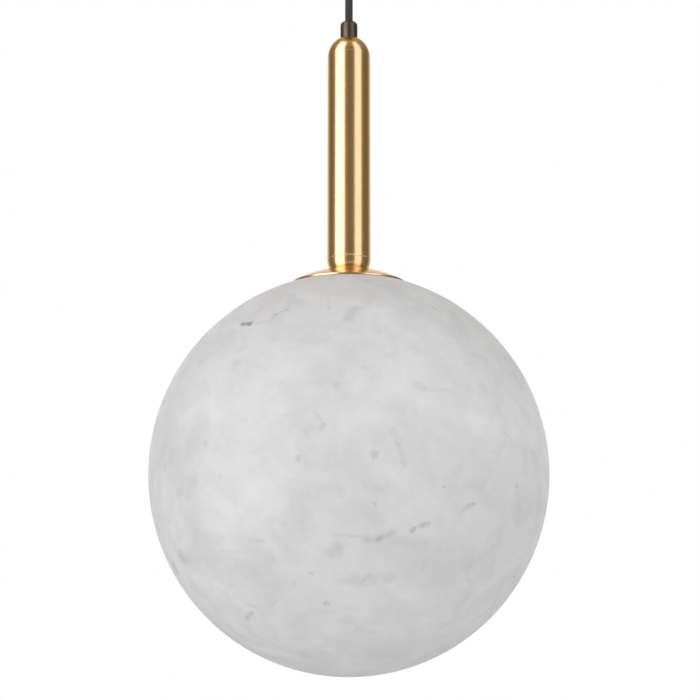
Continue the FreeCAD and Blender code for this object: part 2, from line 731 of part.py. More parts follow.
def spreader_plate(top_z, turn):
    """Round-ended steel plate, narrow enough to pass the globe's mouth on edge."""
    plate = slot_bar(PLATE_L, PLATE_W, top_z - PLATE_T, top_z)
    plate = plate.cut(bar(NIPPLE_HOLE_R, top_z - PLATE_T, top_z))
    return plate.rotate(V(0, 0, 0), V(0, 0, 1), turn)


def spreader_pads(top_z, turn):
    """Two rubber pads on a plate's ends, shaped to the inside of the globe."""
    outer_r = PLATE_L / 2 - PAD_END
    ring = sleeve(outer_r, outer_r - PAD_L, top_z, GLOBE_Z + GLOBE_IN_R)
    strip = block(PLATE_L, PAD_W, top_z, GLOBE_Z + GLOBE_IN_R)
    inside = Part.makeSphere(GLOBE_IN_R - SEAT_FIT, V(0, 0, GLOBE_Z))
    pads = ring.common(strip).common(inside)
    return pads.rotate(V(0, 0, 0), V(0, 0, 1), turn).Solids


def build_globe():
    save("alabaster_globe", alabaster_globe())
    save("saucer_cap", saucer_cap())
    save("rim_gasket", rim_gasket())
    save("gallery_nipple", gallery_nipple())
    washer_z = LAND_Z + FLANGE_T
    save("collar_washer", sleeve(FLANGE_D / 2, NIPPLE_HOLE_R, washer_z, washer_z + WASHER_T))
    save("upper_spreader_plate", spreader_plate(PLATE_TOP_Z, 0))
    save("lower_spreader_plate", spreader_plate(LOWER_PLATE_TOP_Z, 90))
    save("spreader_pads", *spreader_pads(PLATE_TOP_Z, 0), *spreader_pads(LOWER_PLATE_TOP_Z, 90))
    nut_foot_z = RING_NUT_TOP_Z - RING_NUT_H
    save("gallery_ring_nut", hexagon(RING_NUT_AF, NIPPLE_THREAD_R, nut_foot_z, RING_NUT_TOP_Z))


# ---------------------------------------------------------------- lampholder and lamp


def lampholder_cap():
    """Metal cap that screws on the rod and takes the ceramic body in its skirt."""
    neck_top_z = HOLDER_CAP_TOP_Z + HOLDER_NECK_H
    skirt_in_r = HOLDER_D / 2 - HOLDER_CAP_WALL
    ceiling_z = HOLDER_CAP_TOP_Z - HOLDER_CAP_TOP
    cap = turned(
        (THREAD_BORE_R, neck_top_z),
        (HOLDER_NECK_D / 2, neck_top_z),
        (HOLDER_NECK_D / 2, HOLDER_CAP_TOP_Z),
        (HOLDER_D / 2, HOLDER_CAP_TOP_Z),
        (HOLDER_D / 2, HOLDER_BODY_TOP_Z),
        (skirt_in_r, HOLDER_BODY_TOP_Z),
        (skirt_in_r, ceiling_z),
        (THREAD_BORE_R, ceiling_z),
    )
    screw_z = HOLDER_BODY_TOP_Z + HOLDER_TONGUE_H / 2
    front = V(0, -HOLDER_D / 2, screw_z)
    back = V(0, HOLDER_D / 2, screw_z)
    return cap.cut(cross_bar(HOLDER_SCREW_D / 2 + SCREW_FIT, front, back))


def tongue_r():
    """Radius of the ceramic body's upper end, which fits in the cap's skirt."""
    return HOLDER_D / 2 - HOLDER_CAP_WALL - SCREW_FIT


def lampholder_body():
    """White ceramic body with two pin slots and a hole for each lead."""
    tongue_top_z = HOLDER_BODY_TOP_Z + HOLDER_TONGUE_H
    body = bar(HOLDER_D / 2, HOLDER_FACE_Z, HOLDER_BODY_TOP_Z)
    body = body.fuse(bar(tongue_r(), HOLDER_BODY_TOP_Z, tongue_top_z)).removeSplitter()
    slot_top_z = HOLDER_FACE_Z + PIN_SLOT_DEPTH
    screw_z = HOLDER_BODY_TOP_Z + HOLDER_TONGUE_H / 2
    for side in (-1, 1):
        x = side * PIN_PITCH / 2
        body = body.cut(block(PIN_SLOT_W, PIN_SLOT_L, HOLDER_FACE_Z, slot_top_z, x))
        body = body.cut(bar(LEAD_D / 2 + SCREW_FIT, slot_top_z, tongue_top_z, x))
        tip = V(0, side * (tongue_r() - HOLDER_SCREW_D), screw_z)
        body = body.cut(cross_bar(HOLDER_SCREW_D / 2 + THREAD_FIT, tip, V(0, side * tongue_r(), screw_z)))
    return body


def lampholder_screws():
    """Two small screws through the cap's skirt into the ceramic body."""
    screw_z = HOLDER_BODY_TOP_Z + HOLDER_TONGUE_H / 2
    screws = []
    for side in (-1, 1):
        tip = V(0, side * (tongue_r() - HOLDER_SCREW_D), screw_z)
        screws.append(cross_bar(HOLDER_SCREW_D / 2, tip, V(0, side * HOLDER_D / 2, screw_z)))
    return screws


def lampholder_contacts():
    """Two spring clips, each of two leaves joined at the top of its slot."""
    top_z = HOLDER_FACE_Z + PIN_SLOT_DEPTH
    clips = []
    for side in (-1, 1):
        x = side * PIN_PITCH / 2
        clip = block(PIN_SLOT_W, CLIP_W, top_z - CLIP_T, top_z, x)
        for leaf in (-1, 1):
            leaf_x = x + leaf * (PIN_SLOT_W - CLIP_T) / 2
            clip = clip.fuse(block(CLIP_T, CLIP_W, top_z - CLIP_L, top_z, leaf_x))
        clips.append(clip.removeSplitter())
    return clips


def holder_leads():
    """Two insulated cores from the sheath's end down to the clips."""
    slot_top_z = HOLDER_FACE_Z + PIN_SLOT_DEPTH
    tongue_top_z = HOLDER_BODY_TOP_Z + HOLDER_TONGUE_H
    leads = []
    for side in (-1, 1):
        start = V(side * LEAD_SPREAD, 0, SHEATH_END_Z)
        hole = V(side * PIN_PITCH / 2, 0, tongue_top_z + LEAD_D)
        points = [start, start - V(0, 0, LEAD_D), hole, V(hole.x, 0, slot_top_z)]
        leads.append(bent_wire(points, LEAD_D, LEAD_D / 2, "holder_lead"))
    return leads


def bulb_pins():
    """Two looped wire pins of the lamp's base."""
    loop_r = BULB_PIN_LOOP / 2
    bend_z = HOLDER_FACE_Z + BULB_PIN_L - loop_r
    foot_z = HOLDER_FACE_Z - BULB_BASE_H / 2
    pins = []
    for side in (-1, 1):
        x = side * PIN_PITCH / 2
        legs = [V(x, -loop_r, foot_z), V(x, -loop_r, bend_z), V(x, loop_r, bend_z), V(x, loop_r, foot_z)]
        bow = Part.Arc(legs[1], V(x, 0, bend_z + loop_r), legs[2]).toShape()
        path = Part.Wire([Part.makeLine(legs[0], legs[1]), bow, Part.makeLine(legs[2], legs[3])])
        ring = Part.Wire(Part.makeCircle(BULB_PIN_D / 2, legs[0], V(0, 0, 1)))
        pins.append(path.makePipeShell([ring], True, True))
    return pins


def bulb_base(pins):
    """Moulded base of the lamp, with the pins set in it."""
    foot_z = HOLDER_FACE_Z - BULB_BASE_H
    base = bar(BULB_D / 2, foot_z, HOLDER_FACE_Z)
    base = base.cut(bar(board_r() + SCREW_FIT, foot_z, foot_z + BOARD_IN_BASE))
    for pin in pins:
        base = base.cut(pin)
    return base


def board_r():
    """Radius of the round space that the LED board needs."""
    return math.hypot(BOARD_W / 2, BOARD_T / 2 + LED_T)


def bulb_cover():
    """Clear closed cover with a round end."""
    top_z = HOLDER_FACE_Z - BULB_BASE_H
    outer_r = BULB_D / 2
    inner_r = outer_r - BULB_COVER_WALL
    centre_z = top_z - BULB_COVER_L + outer_r
    outer = bar(outer_r, centre_z, top_z).fuse(Part.makeSphere(outer_r, V(0, 0, centre_z)))
    inner = bar(inner_r, centre_z, top_z).fuse(Part.makeSphere(inner_r, V(0, 0, centre_z)))
    return outer.removeSplitter().cut(inner.removeSplitter())


def led_board():
    """Narrow board with a row of LED chips on both faces."""
    top_z = HOLDER_FACE_Z - BULB_BASE_H + BOARD_IN_BASE
    board = block(BOARD_W, BOARD_T, top_z - BOARD_L, top_z)
    pitch = (BOARD_L - BOARD_IN_BASE - BOARD_MARGIN) / LED_COUNT
    for i in range(LED_COUNT):
        z = top_z - BOARD_IN_BASE - pitch * (i + 0.5)
        for side in (-1, 1):
            y = side * (BOARD_T + LED_T) / 2
            board = board.fuse(block(LED_SIZE, LED_T, z - LED_SIZE / 2, z + LED_SIZE / 2, 0, y))
    return board.removeSplitter()


def build_light():
    save("lampholder_cap", lampholder_cap())
    save("lampholder_body", lampholder_body())
    save("lampholder_screws", *lampholder_screws())
    save("lampholder_contacts", *lampholder_contacts())
    save("holder_leads", *holder_leads())
    pins = bulb_pins()
    save("bulb_pins", *pins)
    save("bulb_base", bulb_base(pins))
    save("bulb_cover", bulb_cover())
    save("led_board", led_board())


os.makedirs("parts", exist_ok=True)
build_ceiling_set()
build_cord()
build_tube()
build_globe()
build_light()
print(f"globe centre {GLOBE_Z:.2f}, lowest point {GLOBE_Z - GLOBE_R:.2f}, cord {CORD_FREE:.1f} long")
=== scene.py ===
"""Globe pendant lamp: a pale stone globe under a brushed brass tube, on a dark textile cord.

Metres, in the model's own frame: the ceiling is z = 0, the lamp hangs below it on the Z axis,
and the front of the lamp faces -Y.
"""

import math

import bmesh
import bpy
import numpy as np
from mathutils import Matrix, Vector


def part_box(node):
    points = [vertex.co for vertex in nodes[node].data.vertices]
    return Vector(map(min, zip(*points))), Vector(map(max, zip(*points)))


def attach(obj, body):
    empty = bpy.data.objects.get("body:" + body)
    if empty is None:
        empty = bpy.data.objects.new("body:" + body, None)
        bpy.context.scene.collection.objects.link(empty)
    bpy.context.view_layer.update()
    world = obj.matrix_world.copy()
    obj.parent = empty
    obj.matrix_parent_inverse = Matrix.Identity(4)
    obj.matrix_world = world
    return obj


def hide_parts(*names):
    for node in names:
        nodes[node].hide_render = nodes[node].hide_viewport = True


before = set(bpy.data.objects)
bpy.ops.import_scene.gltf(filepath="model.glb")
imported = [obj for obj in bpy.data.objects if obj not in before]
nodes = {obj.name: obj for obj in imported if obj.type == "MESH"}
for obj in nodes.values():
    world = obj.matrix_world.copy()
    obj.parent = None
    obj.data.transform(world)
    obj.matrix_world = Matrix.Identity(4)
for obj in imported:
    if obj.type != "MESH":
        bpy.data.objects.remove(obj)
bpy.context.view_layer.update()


# ---------------------------------------------------------------- camera

# The photograph's place: three quarters of a metre in front of the globe, level with its
# middle, looking up by under seven degrees, so that the tube and the cord come into the frame.
CAMERA_PLACE = (0.00085, -0.768, -0.4463)
CAMERA_UP_DEG = 6.66
CAMERA_LENS_MM = 51.43
SENSOR_MM = 36.0

camera_data = bpy.data.cameras.new("camera")
camera_data.lens = CAMERA_LENS_MM
camera_data.sensor_width = SENSOR_MM
camera = bpy.data.objects.new("camera", camera_data)
camera.location = CAMERA_PLACE
camera.rotation_euler = (math.radians(90 + CAMERA_UP_DEG), 0, 0)
bpy.context.scene.collection.objects.link(camera)
bpy.context.scene.camera = camera


# ---------------------------------------------------------------- finishes and the floor

# A pale round floor far below the lamp, white to the camera apart from a faint shadow. It is
# the first thing with a finish, so the classes that build every finish come here.
FLOOR_Z = -1.35
FLOOR_R = 2.9
FLOOR_SIDES = 96
FLOOR_GREY = (0.8, 0.8, 0.8, 1)
FLOOR_ROUGHNESS = 0.9
FLOOR_WHITE_SHARE = 0.75
WHITE = (1, 1, 1, 1)


class Value:
    """A number that varies over a surface, so that sums can be written: 1 - a, a + b, a * b."""

    def __init__(self, finish, socket):
        self.finish = finish
        self.socket = socket

    def sum(self, operation, *terms):
        """One Math node with its terms in order."""
        inputs = dict(enumerate(terms))
        return self.finish.node("ShaderNodeMath", {"operation": operation}, inputs)

    def __add__(self, other):
        return self.sum("ADD", self, other)

    def __radd__(self, other):
        return self.sum("ADD", other, self)

    def __sub__(self, other):
        return self.sum("SUBTRACT", self, other)

    def __rsub__(self, other):
        return self.sum("SUBTRACT", other, self)

    def __mul__(self, other):
        return self.sum("MULTIPLY", self, other)

    def __rmul__(self, other):
        return self.sum("MULTIPLY", other, self)

    def size(self):
        """The number without its sign."""
        return self.sum("ABSOLUTE", self)

    def ramp(self, low, high, curve="SMOOTHSTEP"):
        """Ramp: 0 up to low, 1 from high on, or the other way round when low > high."""
        if low > high:
            return 1 - self.ramp(high, low, curve)
        settings = {"interpolation_type": curve}
        inputs = {"Value": self, "From Min": low, "From Max": high}
        return self.finish.node("ShaderNodeMapRange", settings, inputs)


class Finish:
    """The nodes of one material, or of the world: node() adds any node and returns its value."""

    def __init__(self, owner):
        owner.use_nodes = True
        self.owner = owner
        self.tree = owner.node_tree

    def node(self, kind, settings=None, inputs=None, out=0):
        """Adds a node: its settings first, then the values or links of its sockets."""
        made = self.tree.nodes.new(kind)
        for name, setting in (settings or {}).items():
            setattr(made, name, setting)
        for name, value in (inputs or {}).items():
            self.feed(made.inputs[name], value)
        return Value(self, made.outputs[out])

    def feed(self, socket, value):
        """Links a varying value to a socket, or sets the socket to a plain one."""
        if isinstance(value, Value):
            self.tree.links.new(value.socket, socket)
        else:
            socket.default_value = value

    def set(self, **values):
        """Feeds the surface shader's sockets, where an underscore stands for a space."""
        shader = self.tree.nodes["Principled BSDF"]
        for name, value in values.items():
            self.feed(shader.inputs[name.replace("_", " ")], value)

    def place(self):
        """Position on the piece, in metres."""
        return self.node("ShaderNodeTexCoord", out="Object")

    def along(self, place, stretch, offset=(0, 0, 0)):
        """Position moved by offset and then stretched along each axis."""
        moved = self.node("ShaderNodeVectorMath", {"operation": "ADD"}, {0: place, 1: offset})
        return self.node("ShaderNodeVectorMath", {"operation": "MULTIPLY"}, {0: moved, 1: stretch})

    def part(self, place, axis):
        """One coordinate of a position, X, Y or Z."""
        return self.node("ShaderNodeSeparateXYZ", {}, {"Vector": place}, out=axis)

    def noise(self, place, scale, detail=2.0, roughness=0.5, distortion=0.0):
        """Cloudy number about one half, with scale clouds to the metre."""
        inputs = {"Vector": place, "Scale": scale, "Detail": detail}
        inputs.update({"Roughness": roughness, "Distortion": distortion})
        return self.node("ShaderNodeTexNoise", {}, inputs)

    def mix(self, share, first, second):
        """Colour that goes from first to second as share goes from 0 to 1."""
        inputs = {0: share, 6: first, 7: second}
        return self.node("ShaderNodeMix", {"data_type": "RGBA"}, inputs, out=2)

    def vector(self, operation, first, second=(0, 0, 0), scale=1.0, out="Vector"):
        """Sum of two positions, or their distance or dot product where out is Value."""
        inputs = {0: first, 1: second, 3: scale}
        return self.node("ShaderNodeVectorMath", {"operation": operation}, inputs, out)

    def bump(self, height, distance, strength=1.0):
        """Normal of a surface raised by height times distance."""
        inputs = {"Height": height, "Distance": distance, "Strength": strength}
        return self.node("ShaderNodeBump", {}, inputs)


def material(name):
    """New material, with the nodes of its finish ready to be added."""
    return Finish(bpy.data.materials.new(name))


floor_finish = material("floor")
floor_finish.set(Base_Color=FLOOR_GREY, Roughness=FLOOR_ROUGHNESS)
ray = floor_finish.node("ShaderNodeLightPath", out="Is Camera Ray")
bright = floor_finish.node("ShaderNodeEmission", {}, {"Color": WHITE, "Strength": 1.0})
plain = Value(floor_finish, floor_finish.tree.nodes["Principled BSDF"].outputs[0])
floor_shaders = {0: ray * FLOOR_WHITE_SHARE, 1: plain, 2: bright}
shown = floor_finish.node("ShaderNodeMixShader", {}, floor_shaders)
floor_finish.feed(floor_finish.tree.nodes["Material Output"].inputs["Surface"], shown)

floor_angles = np.linspace(0, 2 * math.pi, FLOOR_SIDES, endpoint=False)
floor_rim = np.stack([np.cos(floor_angles), np.sin(floor_angles)], axis=1) * FLOOR_R
floor_points = np.column_stack([floor_rim, np.full(FLOOR_SIDES, FLOOR_Z)])
floor_mesh = bpy.data.meshes.new("floor")
floor_mesh.from_pydata(floor_points.tolist(), [], [list(range(FLOOR_SIDES))])
floor_mesh.materials.append(floor_finish.owner)
floor = bpy.data.objects.new("floor", floor_mesh)
bpy.context.scene.collection.objects.link(floor)


# ---------------------------------------------------------------- studio light

# Two upright panels in front of the lamp make the two bright stripes down the tube. They run
# from below the foot to far above the dome. A wide soft lamp from the front left shapes the
# stone. The room between the panels is dim, and a pale backdrop lights the tube's outer edges.
TUBE_MIDDLE = Vector((0, 0, -0.20))
PANELS = {
    # name: azimuth from the front (deg), width, brightness, tint
    "panel_left": (-50, 1.12, 2.6, (1.0, 0.95, 1.16)),
    "panel_right": (50, 0.82, 1.42, (1.0, 0.91, 1.15)),
}
PANEL_DISTANCE = 1.2
PANEL_FOOT = -0.75
PANEL_HEAD = 3.0
KEY_PLACE = (-0.85, -1.55, -0.35)
KEY_SIZE = 1.3
KEY_TARGET = Vector((0, 0, -0.45))
KEY_WATTS = 4.3
# The room as metal sees it: its level, its level overhead, its tint, and where these change
ROOM_DIM = 0.165
ROOM_TOP = 0.30
ROOM_TOP_EDGE = (0.45, 0.85)
ROOM_TINT = (1.0, 0.86, 0.62, 1)
BACKDROP_EDGE = (0.42, 1.0)
# The room as it lights the stone: its level from below and from above
ROOM_FILL = 1.21
ROOM_FILL_TOP = 0.67
ROOM_FILL_EDGE = (-0.3, 0.8)


def aim(lamp, place, target):
    """Puts a lamp at place, facing target."""
    lamp.location = place
    lamp.rotation_euler = (target - Vector(place)).to_track_quat("-Z", "Y").to_euler()
    bpy.context.scene.collection.objects.link(lamp)
    lamp.visible_camera = False


panel_height = PANEL_HEAD - PANEL_FOOT
panel_middle = TUBE_MIDDLE + Vector((0, 0, (PANEL_HEAD + PANEL_FOOT) / 2))
for name, (azimuth, width, brightness, tint) in PANELS.items():
    lamp_data = bpy.data.lights.new(name, "AREA")
    lamp_data.shape = "RECTANGLE"
    lamp_data.size = width
    lamp_data.size_y = panel_height
    lamp_data.energy = brightness * math.pi * width * panel_height
    lamp_data.color = tint
    panel = bpy.data.objects.new(name, lamp_data)
    turn = math.radians(azimuth)
    away = Vector((math.sin(turn), -math.cos(turn), 0)) * PANEL_DISTANCE
    aim(panel, panel_middle + away, panel_middle)
    panel.visible_diffuse = False

key_data = bpy.data.lights.new("key", "AREA")
key_data.size = KEY_SIZE
key_data.energy = KEY_WATTS
key = bpy.data.objects.new("key", key_data)
aim(key, KEY_PLACE, KEY_TARGET)
key.visible_glossy = False

world = Finish(bpy.data.worlds.new("room"))
bpy.context.scene.world = world.owner
direction = world.node("ShaderNodeTexCoord", out="Generated")
upward = world.part(direction, "Z")
backdrop = world.part(direction, "Y").ramp(*BACKDROP_EDGE)
gloss_room = ROOM_DIM + (ROOM_TOP - ROOM_DIM) * upward.ramp(*ROOM_TOP_EDGE)
gloss_room = gloss_room + (1 - gloss_room) * backdrop
soft_room = ROOM_FILL + (ROOM_FILL_TOP - ROOM_FILL) * upward.ramp(*ROOM_FILL_EDGE)
seen = world.node("ShaderNodeLightPath", out="Is Camera Ray")
seen = seen.sum("MAXIMUM", seen, world.node("ShaderNodeLightPath", out="Is Transmission Ray"))
glossy = world.node("ShaderNodeLightPath", out="Is Glossy Ray")
room = soft_room + (gloss_room - soft_room) * glossy
room = room + (1 - room) * seen
room_colour = world.mix(glossy * (1 - backdrop), WHITE, ROOM_TINT)
world.feed(world.tree.nodes["Background"].inputs["Strength"], room)
world.feed(world.tree.nodes["Background"].inputs["Color"], room_colour)


# ---------------------------------------------------------------- stone globe

# A hollow sphere turned from one block of pale alabaster, honed but not polished, with one
# round mouth at the top. Grey clouds, a broken vein and a few dark specks run through it.
GLOBE_WALL = 0.010
MOUTH_R = 0.025
MOUTH_ROUND = 0.0015
GLOBE_ROWS = 150
GLOBE_INNER_ROWS = 48
GLOBE_COLUMNS = 240
STONE_LIGHT = (0.86, 0.86, 0.855, 1)
STONE_DARK = (0.18, 0.18, 0.185, 1)
STONE_TONE = 0.755
# Round marks: turn from the front and height (deg), radius in metres, depth of the grey
SPOTS = (
    (-6.2, 10.6, 0.0025, 0.20), (-11.9, 3.0, 0.0021, 0.20), (6.1, 3.9, 0.0033, 0.20),
    (6.3, 6.6, 0.0023, 0.08), (-1.6, 3.0, 0.0086, 0.05), (-3.4, 20.9, 0.0027, 0.09),
    (4.4, 26.0, 0.0023, 0.12), (-8.8, 17.3, 0.0031, 0.06), (-44.4, -4.2, 0.0077, 0.11),
    (-49.1, -5.5, 0.0042, 0.09), (-41.8, -2.5, 0.0042, 0.08), (-54.3, -22.8, 0.0058, 0.17),
    (-65.3, -26.8, 0.0054, 0.22), (-38.6, 6.6, 0.0031, 0.11), (-32.9, -1.2, 0.0019, 0.09),
    (-56.8, 0.9, 0.0031, 0.12), (-17.8, 22.1, 0.0012, 0.22), (-15.1, 20.0, 0.0086, 0.04),
    (-6.4, -33.6, 0.0023, 0.22), (-9.8, -25.0, 0.0023, 0.16), (-15.1, -27.8, 0.0023, 0.10),
    (10.8, -26.2, 0.0038, 0.12), (-3.0, -19.1, 0.0054, 0.09), (-20.5, -21.1, 0.0050, 0.06),
    (-45.3, -31.5, 0.0019, 0.12), (6.3, -7.5, 0.0017, 0.16), (23.4, -3.9, 0.0010, 0.22),
    (47.9, -3.8, 0.0019, 0.16), (-36.3, -17.6, 0.0008, 0.30), (-1.9, -5.0, 0.0031, 0.07),
    (-9.8, -5.9, 0.0027, 0.06), (36.7, 48.7, 0.0023, 0.16), (33.8, -42.9, 0.0050, 0.06),
    (60.4, 26.0, 0.0050, 0.08), (8.0, -3.8, 0.0058, 0.05), (20.3, 32.3, 0.0050, 0.06),
    (-34.8, 28.0, 0.0046, 0.08), (-51.9, 29.6, 0.0038, 0.07), (-44.8, 23.5, 0.0015, 0.12),
    (-53.3, 24.7, 0.0013, 0.12), (34.8, -23.4, 0.0042, 0.08), (25.7, 11.7, 0.0058, 0.04),
    (-56.1, -13.0, 0.0017, 0.14),
    (150, 20, 0.0060, 0.14), (-120, 35, 0.0030, 0.24), (175, -18, 0.0080, 0.10),
    (110, -30, 0.0030, 0.20), (-158, 12, 0.0040, 0.14), (95, 18, 0.0025, 0.18),
)
# Line marks: turn and height of both ends (deg), half width in metres, depth of the grey
STREAKS = (
    (-41.7, 42.2, -37.0, 41.8, 0.0013, 0.62), (-35.5, 41.4, -28.5, 42.2, 0.0006, 0.13),
    (-28.5, 42.2, -27.8, 44.9, 0.0008, 0.16), (-27.8, 44.9, -23.7, 46.6, 0.0008, 0.20),
    (-23.7, 46.6, -20.4, 45.6, 0.0006, 0.12), (-0.6, 42.0, 2.7, 46.3, 0.0025, 0.16),
    (-11.6, -14.1, -7.8, -13.2, 0.0008, 0.05), (-3.5, -15.1, 0.8, -15.1, 0.0006, 0.10),
    (0.8, -15.1, 3.5, -15.8, 0.0006, 0.14), (3.5, -16.1, 7.4, -16.3, 0.0017, 0.15),
    (7.4, -16.0, 11.2, -14.6, 0.0012, 0.16), (15.5, -14.4, 16.4, -13.9, 0.0010, 0.30),
    (16.6, -13.4, 18.0, -12.7, 0.0006, 0.12), (18.0, -12.8, 19.6, -12.7, 0.0012, 0.24),
    (29.6, -9.2, 32.2, -7.9, 0.0012, 0.16), (32.2, -7.9, 30.6, -8.0, 0.0008, 0.16),
    (18.0, 21.5, 19.8, 20.3, 0.0017, 0.12), (20.5, 20.1, 28.0, 19.7, 0.0008, 0.08),
    (10.6, 9.6, 11.8, 6.6, 0.0017, 0.09), (11.8, 6.6, 13.3, 1.5, 0.0010, 0.10),
    (-35.5, -39.8, -32.1, -37.7, 0.0013, 0.24), (-32.3, -35.0, -28.9, -35.8, 0.0008, 0.12),
    (-24.1, -35.0, -21.6, -33.1, 0.0012, 0.10), (3.1, -27.7, 5.1, -25.5, 0.0012, 0.11),
    (-25.6, -16.7, -21.3, -17.0, 0.0008, 0.12), (-36.2, -20.0, -29.3, -19.8, 0.0006, 0.07),
    (-5.6, -20.4, -2.9, -17.8, 0.0027, 0.07), (36.9, 28.1, 59.8, 31.4, 0.0008, 0.08),
    (43.8, 9.9, 46.6, 7.8, 0.0006, 0.10), (31.3, -22.2, 37.3, -29.7, 0.0008, 0.07),
    (-8.6, 50.4, -7.0, 45.5, 0.0008, 0.10), (-8.6, 14.0, -6.6, 12.1, 0.0008, 0.10),
    (-35.2, 28.8, -22.8, 25.9, 0.0017, 0.05), (-65.7, -8.9, -62.7, -15.7, 0.0012, 0.05),
    (132, -9, 146, -12, 0.0012, 0.14), (-152, 6, -139, 9, 0.0010, 0.12),
    (104, 40, 112, 34, 0.0012, 0.12),
)
# A mark fades from the outer to the inner share of its radius or half width
SPOT_EDGE = (1.5, 0.3)
STREAK_EDGE = (2.2, 0.3)
# Marks have wandering edges, and are broken by grains that leave from a half to all of them
WANDER_SCALE = 240.0
WANDER_REACH = 0.0045
BREAK_SCALE = 420.0
BREAK_LEAST = 0.50
BREAK_MORE = 0.44
# Clouds of four sizes, from large to grain, and darker smudges: number to the metre, and share
CLOUD_SCALE, CLOUD_SHARE = 11.0, 0.38
PATCH_SCALE, PATCH_SHARE = 34.0, 0.30
MOTTLE_SCALE, MOTTLE_SHARE = 120.0, 0.11
CRYSTAL_SCALE, CRYSTAL_SHARE = 620.0, 0.022
SMUDGE_SCALE, SMUDGE_SHARE = 47.0, 0.06
GRAIN_BUMP = 0.00006


def skin(name, points, close_rows=True):
    """Mesh over a grid of points: quads join each point to its neighbours.

    Columns go once round, so the last joins the first; rows do too where close_rows is true.
    Points that fall together, as at a pole, are merged.
    """
    index = np.arange(points.shape[0] * points.shape[1]).reshape(points.shape[:2])
    if close_rows:
        index = np.vstack([index, index[:1]])
    index = np.hstack([index, index[:, :1]])
    corners = [index[:-1, :-1], index[:-1, 1:], index[1:, 1:], index[1:, :-1]]
    quads = np.stack(corners, axis=-1).reshape(-1, 4)
    mesh = bpy.data.meshes.new(name)
    mesh.from_pydata(points.reshape(-1, 3).tolist(), [], quads.tolist())
    worked = bmesh.new()
    worked.from_mesh(mesh)
    bmesh.ops.remove_doubles(worked, verts=worked.verts, dist=1e-7)
    worked.to_mesh(mesh)
    worked.free()
    mesh.shade_smooth()
    return mesh


def turned(name, outline, columns):
    """Mesh of a closed outline in (r, z) turned about Z: the point (r cos a, r sin a, z)."""
    r, z = outline[:, 0], outline[:, 1]
    if np.sum(r * np.roll(z, -1) - np.roll(r, -1) * z) < 0:
        r, z = r[::-1], z[::-1]
    angle = np.linspace(0, 2 * math.pi, columns, endpoint=False)
    x = r[:, None] * np.cos(angle)
    y = r[:, None] * np.sin(angle)
    return skin(name, np.stack([x, y, np.broadcast_to(z[:, None], x.shape)], axis=-1))


def arc(centre_r, centre_z, radius, start, end, count):
    """Outline points on a circle, from angle start to angle end in degrees: 0 is out, 90 is up."""
    angle = np.radians(np.linspace(start, end, count))
    return np.column_stack([centre_r + radius * np.cos(angle), centre_z + radius * np.sin(angle)])


def piece(mesh, finish, slot, body, *replaced):
    """Puts a mesh in the scene with its finish, on its body, in place of CAD nodes."""
    made = bpy.data.objects.new(mesh.name, mesh)
    mesh.materials.clear()
    mesh.materials.append(finish.owner)
    bpy.context.scene.collection.objects.link(made)
    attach(made, body)
    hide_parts(*replaced)
    return made


def on_sphere(radius, turn_deg, height_deg):
    """Point of a sphere: turn is from the front towards +X, and height is above the equator."""
    turn, height = math.radians(turn_deg), math.radians(height_deg)
    level = radius * math.cos(height)
    return (level * math.sin(turn), -level * math.cos(turn), radius * math.sin(height))


globe_low, globe_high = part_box("alabaster_globe")
GLOBE_R = globe_high.x
GLOBE_Z = globe_low.z + GLOBE_R
lip_deg = math.degrees(math.acos((MOUTH_R + MOUTH_ROUND) / GLOBE_R))
inner_r = GLOBE_R - GLOBE_WALL
inner_lip_deg = math.degrees(math.acos((MOUTH_R + MOUTH_ROUND) / inner_r))
outer_arc = arc(0, GLOBE_Z, GLOBE_R, -90, lip_deg, GLOBE_ROWS)
inner_arc = arc(0, GLOBE_Z, inner_r, inner_lip_deg, -90, GLOBE_INNER_ROWS)
lip_top = outer_arc[-1, 1] - MOUTH_ROUND
lip_foot = inner_arc[0, 1] + MOUTH_ROUND
lip_outer = arc(MOUTH_R + MOUTH_ROUND, lip_top, MOUTH_ROUND, 105, 180, 7)
lip_inner = arc(MOUTH_R + MOUTH_ROUND, lip_foot, MOUTH_ROUND, 180, 260, 7)
globe_outline = np.vstack([outer_arc, lip_outer, lip_inner, inner_arc])
globe_mesh = turned("stone_globe", globe_outline, GLOBE_COLUMNS)

alabaster = material("alabaster")
centred = alabaster.along(alabaster.place(), (1, 1, 1), (0, 0, -GLOBE_Z))
wander_inputs = {"Vector": centred, "Scale": WANDER_SCALE, "Detail": 3.0}
wander = alabaster.node("ShaderNodeTexNoise", {}, wander_inputs, out="Color")
wander = alabaster.along(wander, (WANDER_REACH,) * 3, (-0.5,) * 3)
warped = alabaster.vector("ADD", centred, wander)
grey = 0.0
for turn_deg, height_deg, radius, depth in SPOTS:
    middle = on_sphere(GLOBE_R, turn_deg, height_deg)
    away = alabaster.vector("DISTANCE", warped, middle, out="Value")
    grey = grey + away.ramp(*[radius * edge for edge in SPOT_EDGE]) * depth
for turn_a, height_a, turn_b, height_b, half_width, depth in STREAKS:
    first = Vector(on_sphere(GLOBE_R, turn_a, height_a))
    reach = Vector(on_sphere(GLOBE_R, turn_b, height_b)) - first
    offset = alabaster.vector("SUBTRACT", warped, first)
    share = alabaster.vector("DOT_PRODUCT", offset, reach / reach.length_squared, out="Value")
    nearest = alabaster.vector("SCALE", reach, scale=share.ramp(0.0, 1.0, "LINEAR"))
    away = alabaster.vector("DISTANCE", offset, nearest, out="Value")
    grey = grey + away.ramp(*[half_width * edge for edge in STREAK_EDGE]) * depth
broken = alabaster.noise(centred, BREAK_SCALE, 3.0, 0.6).ramp(0.30, 0.60)
grey = grey * (BREAK_LEAST + BREAK_MORE * broken)

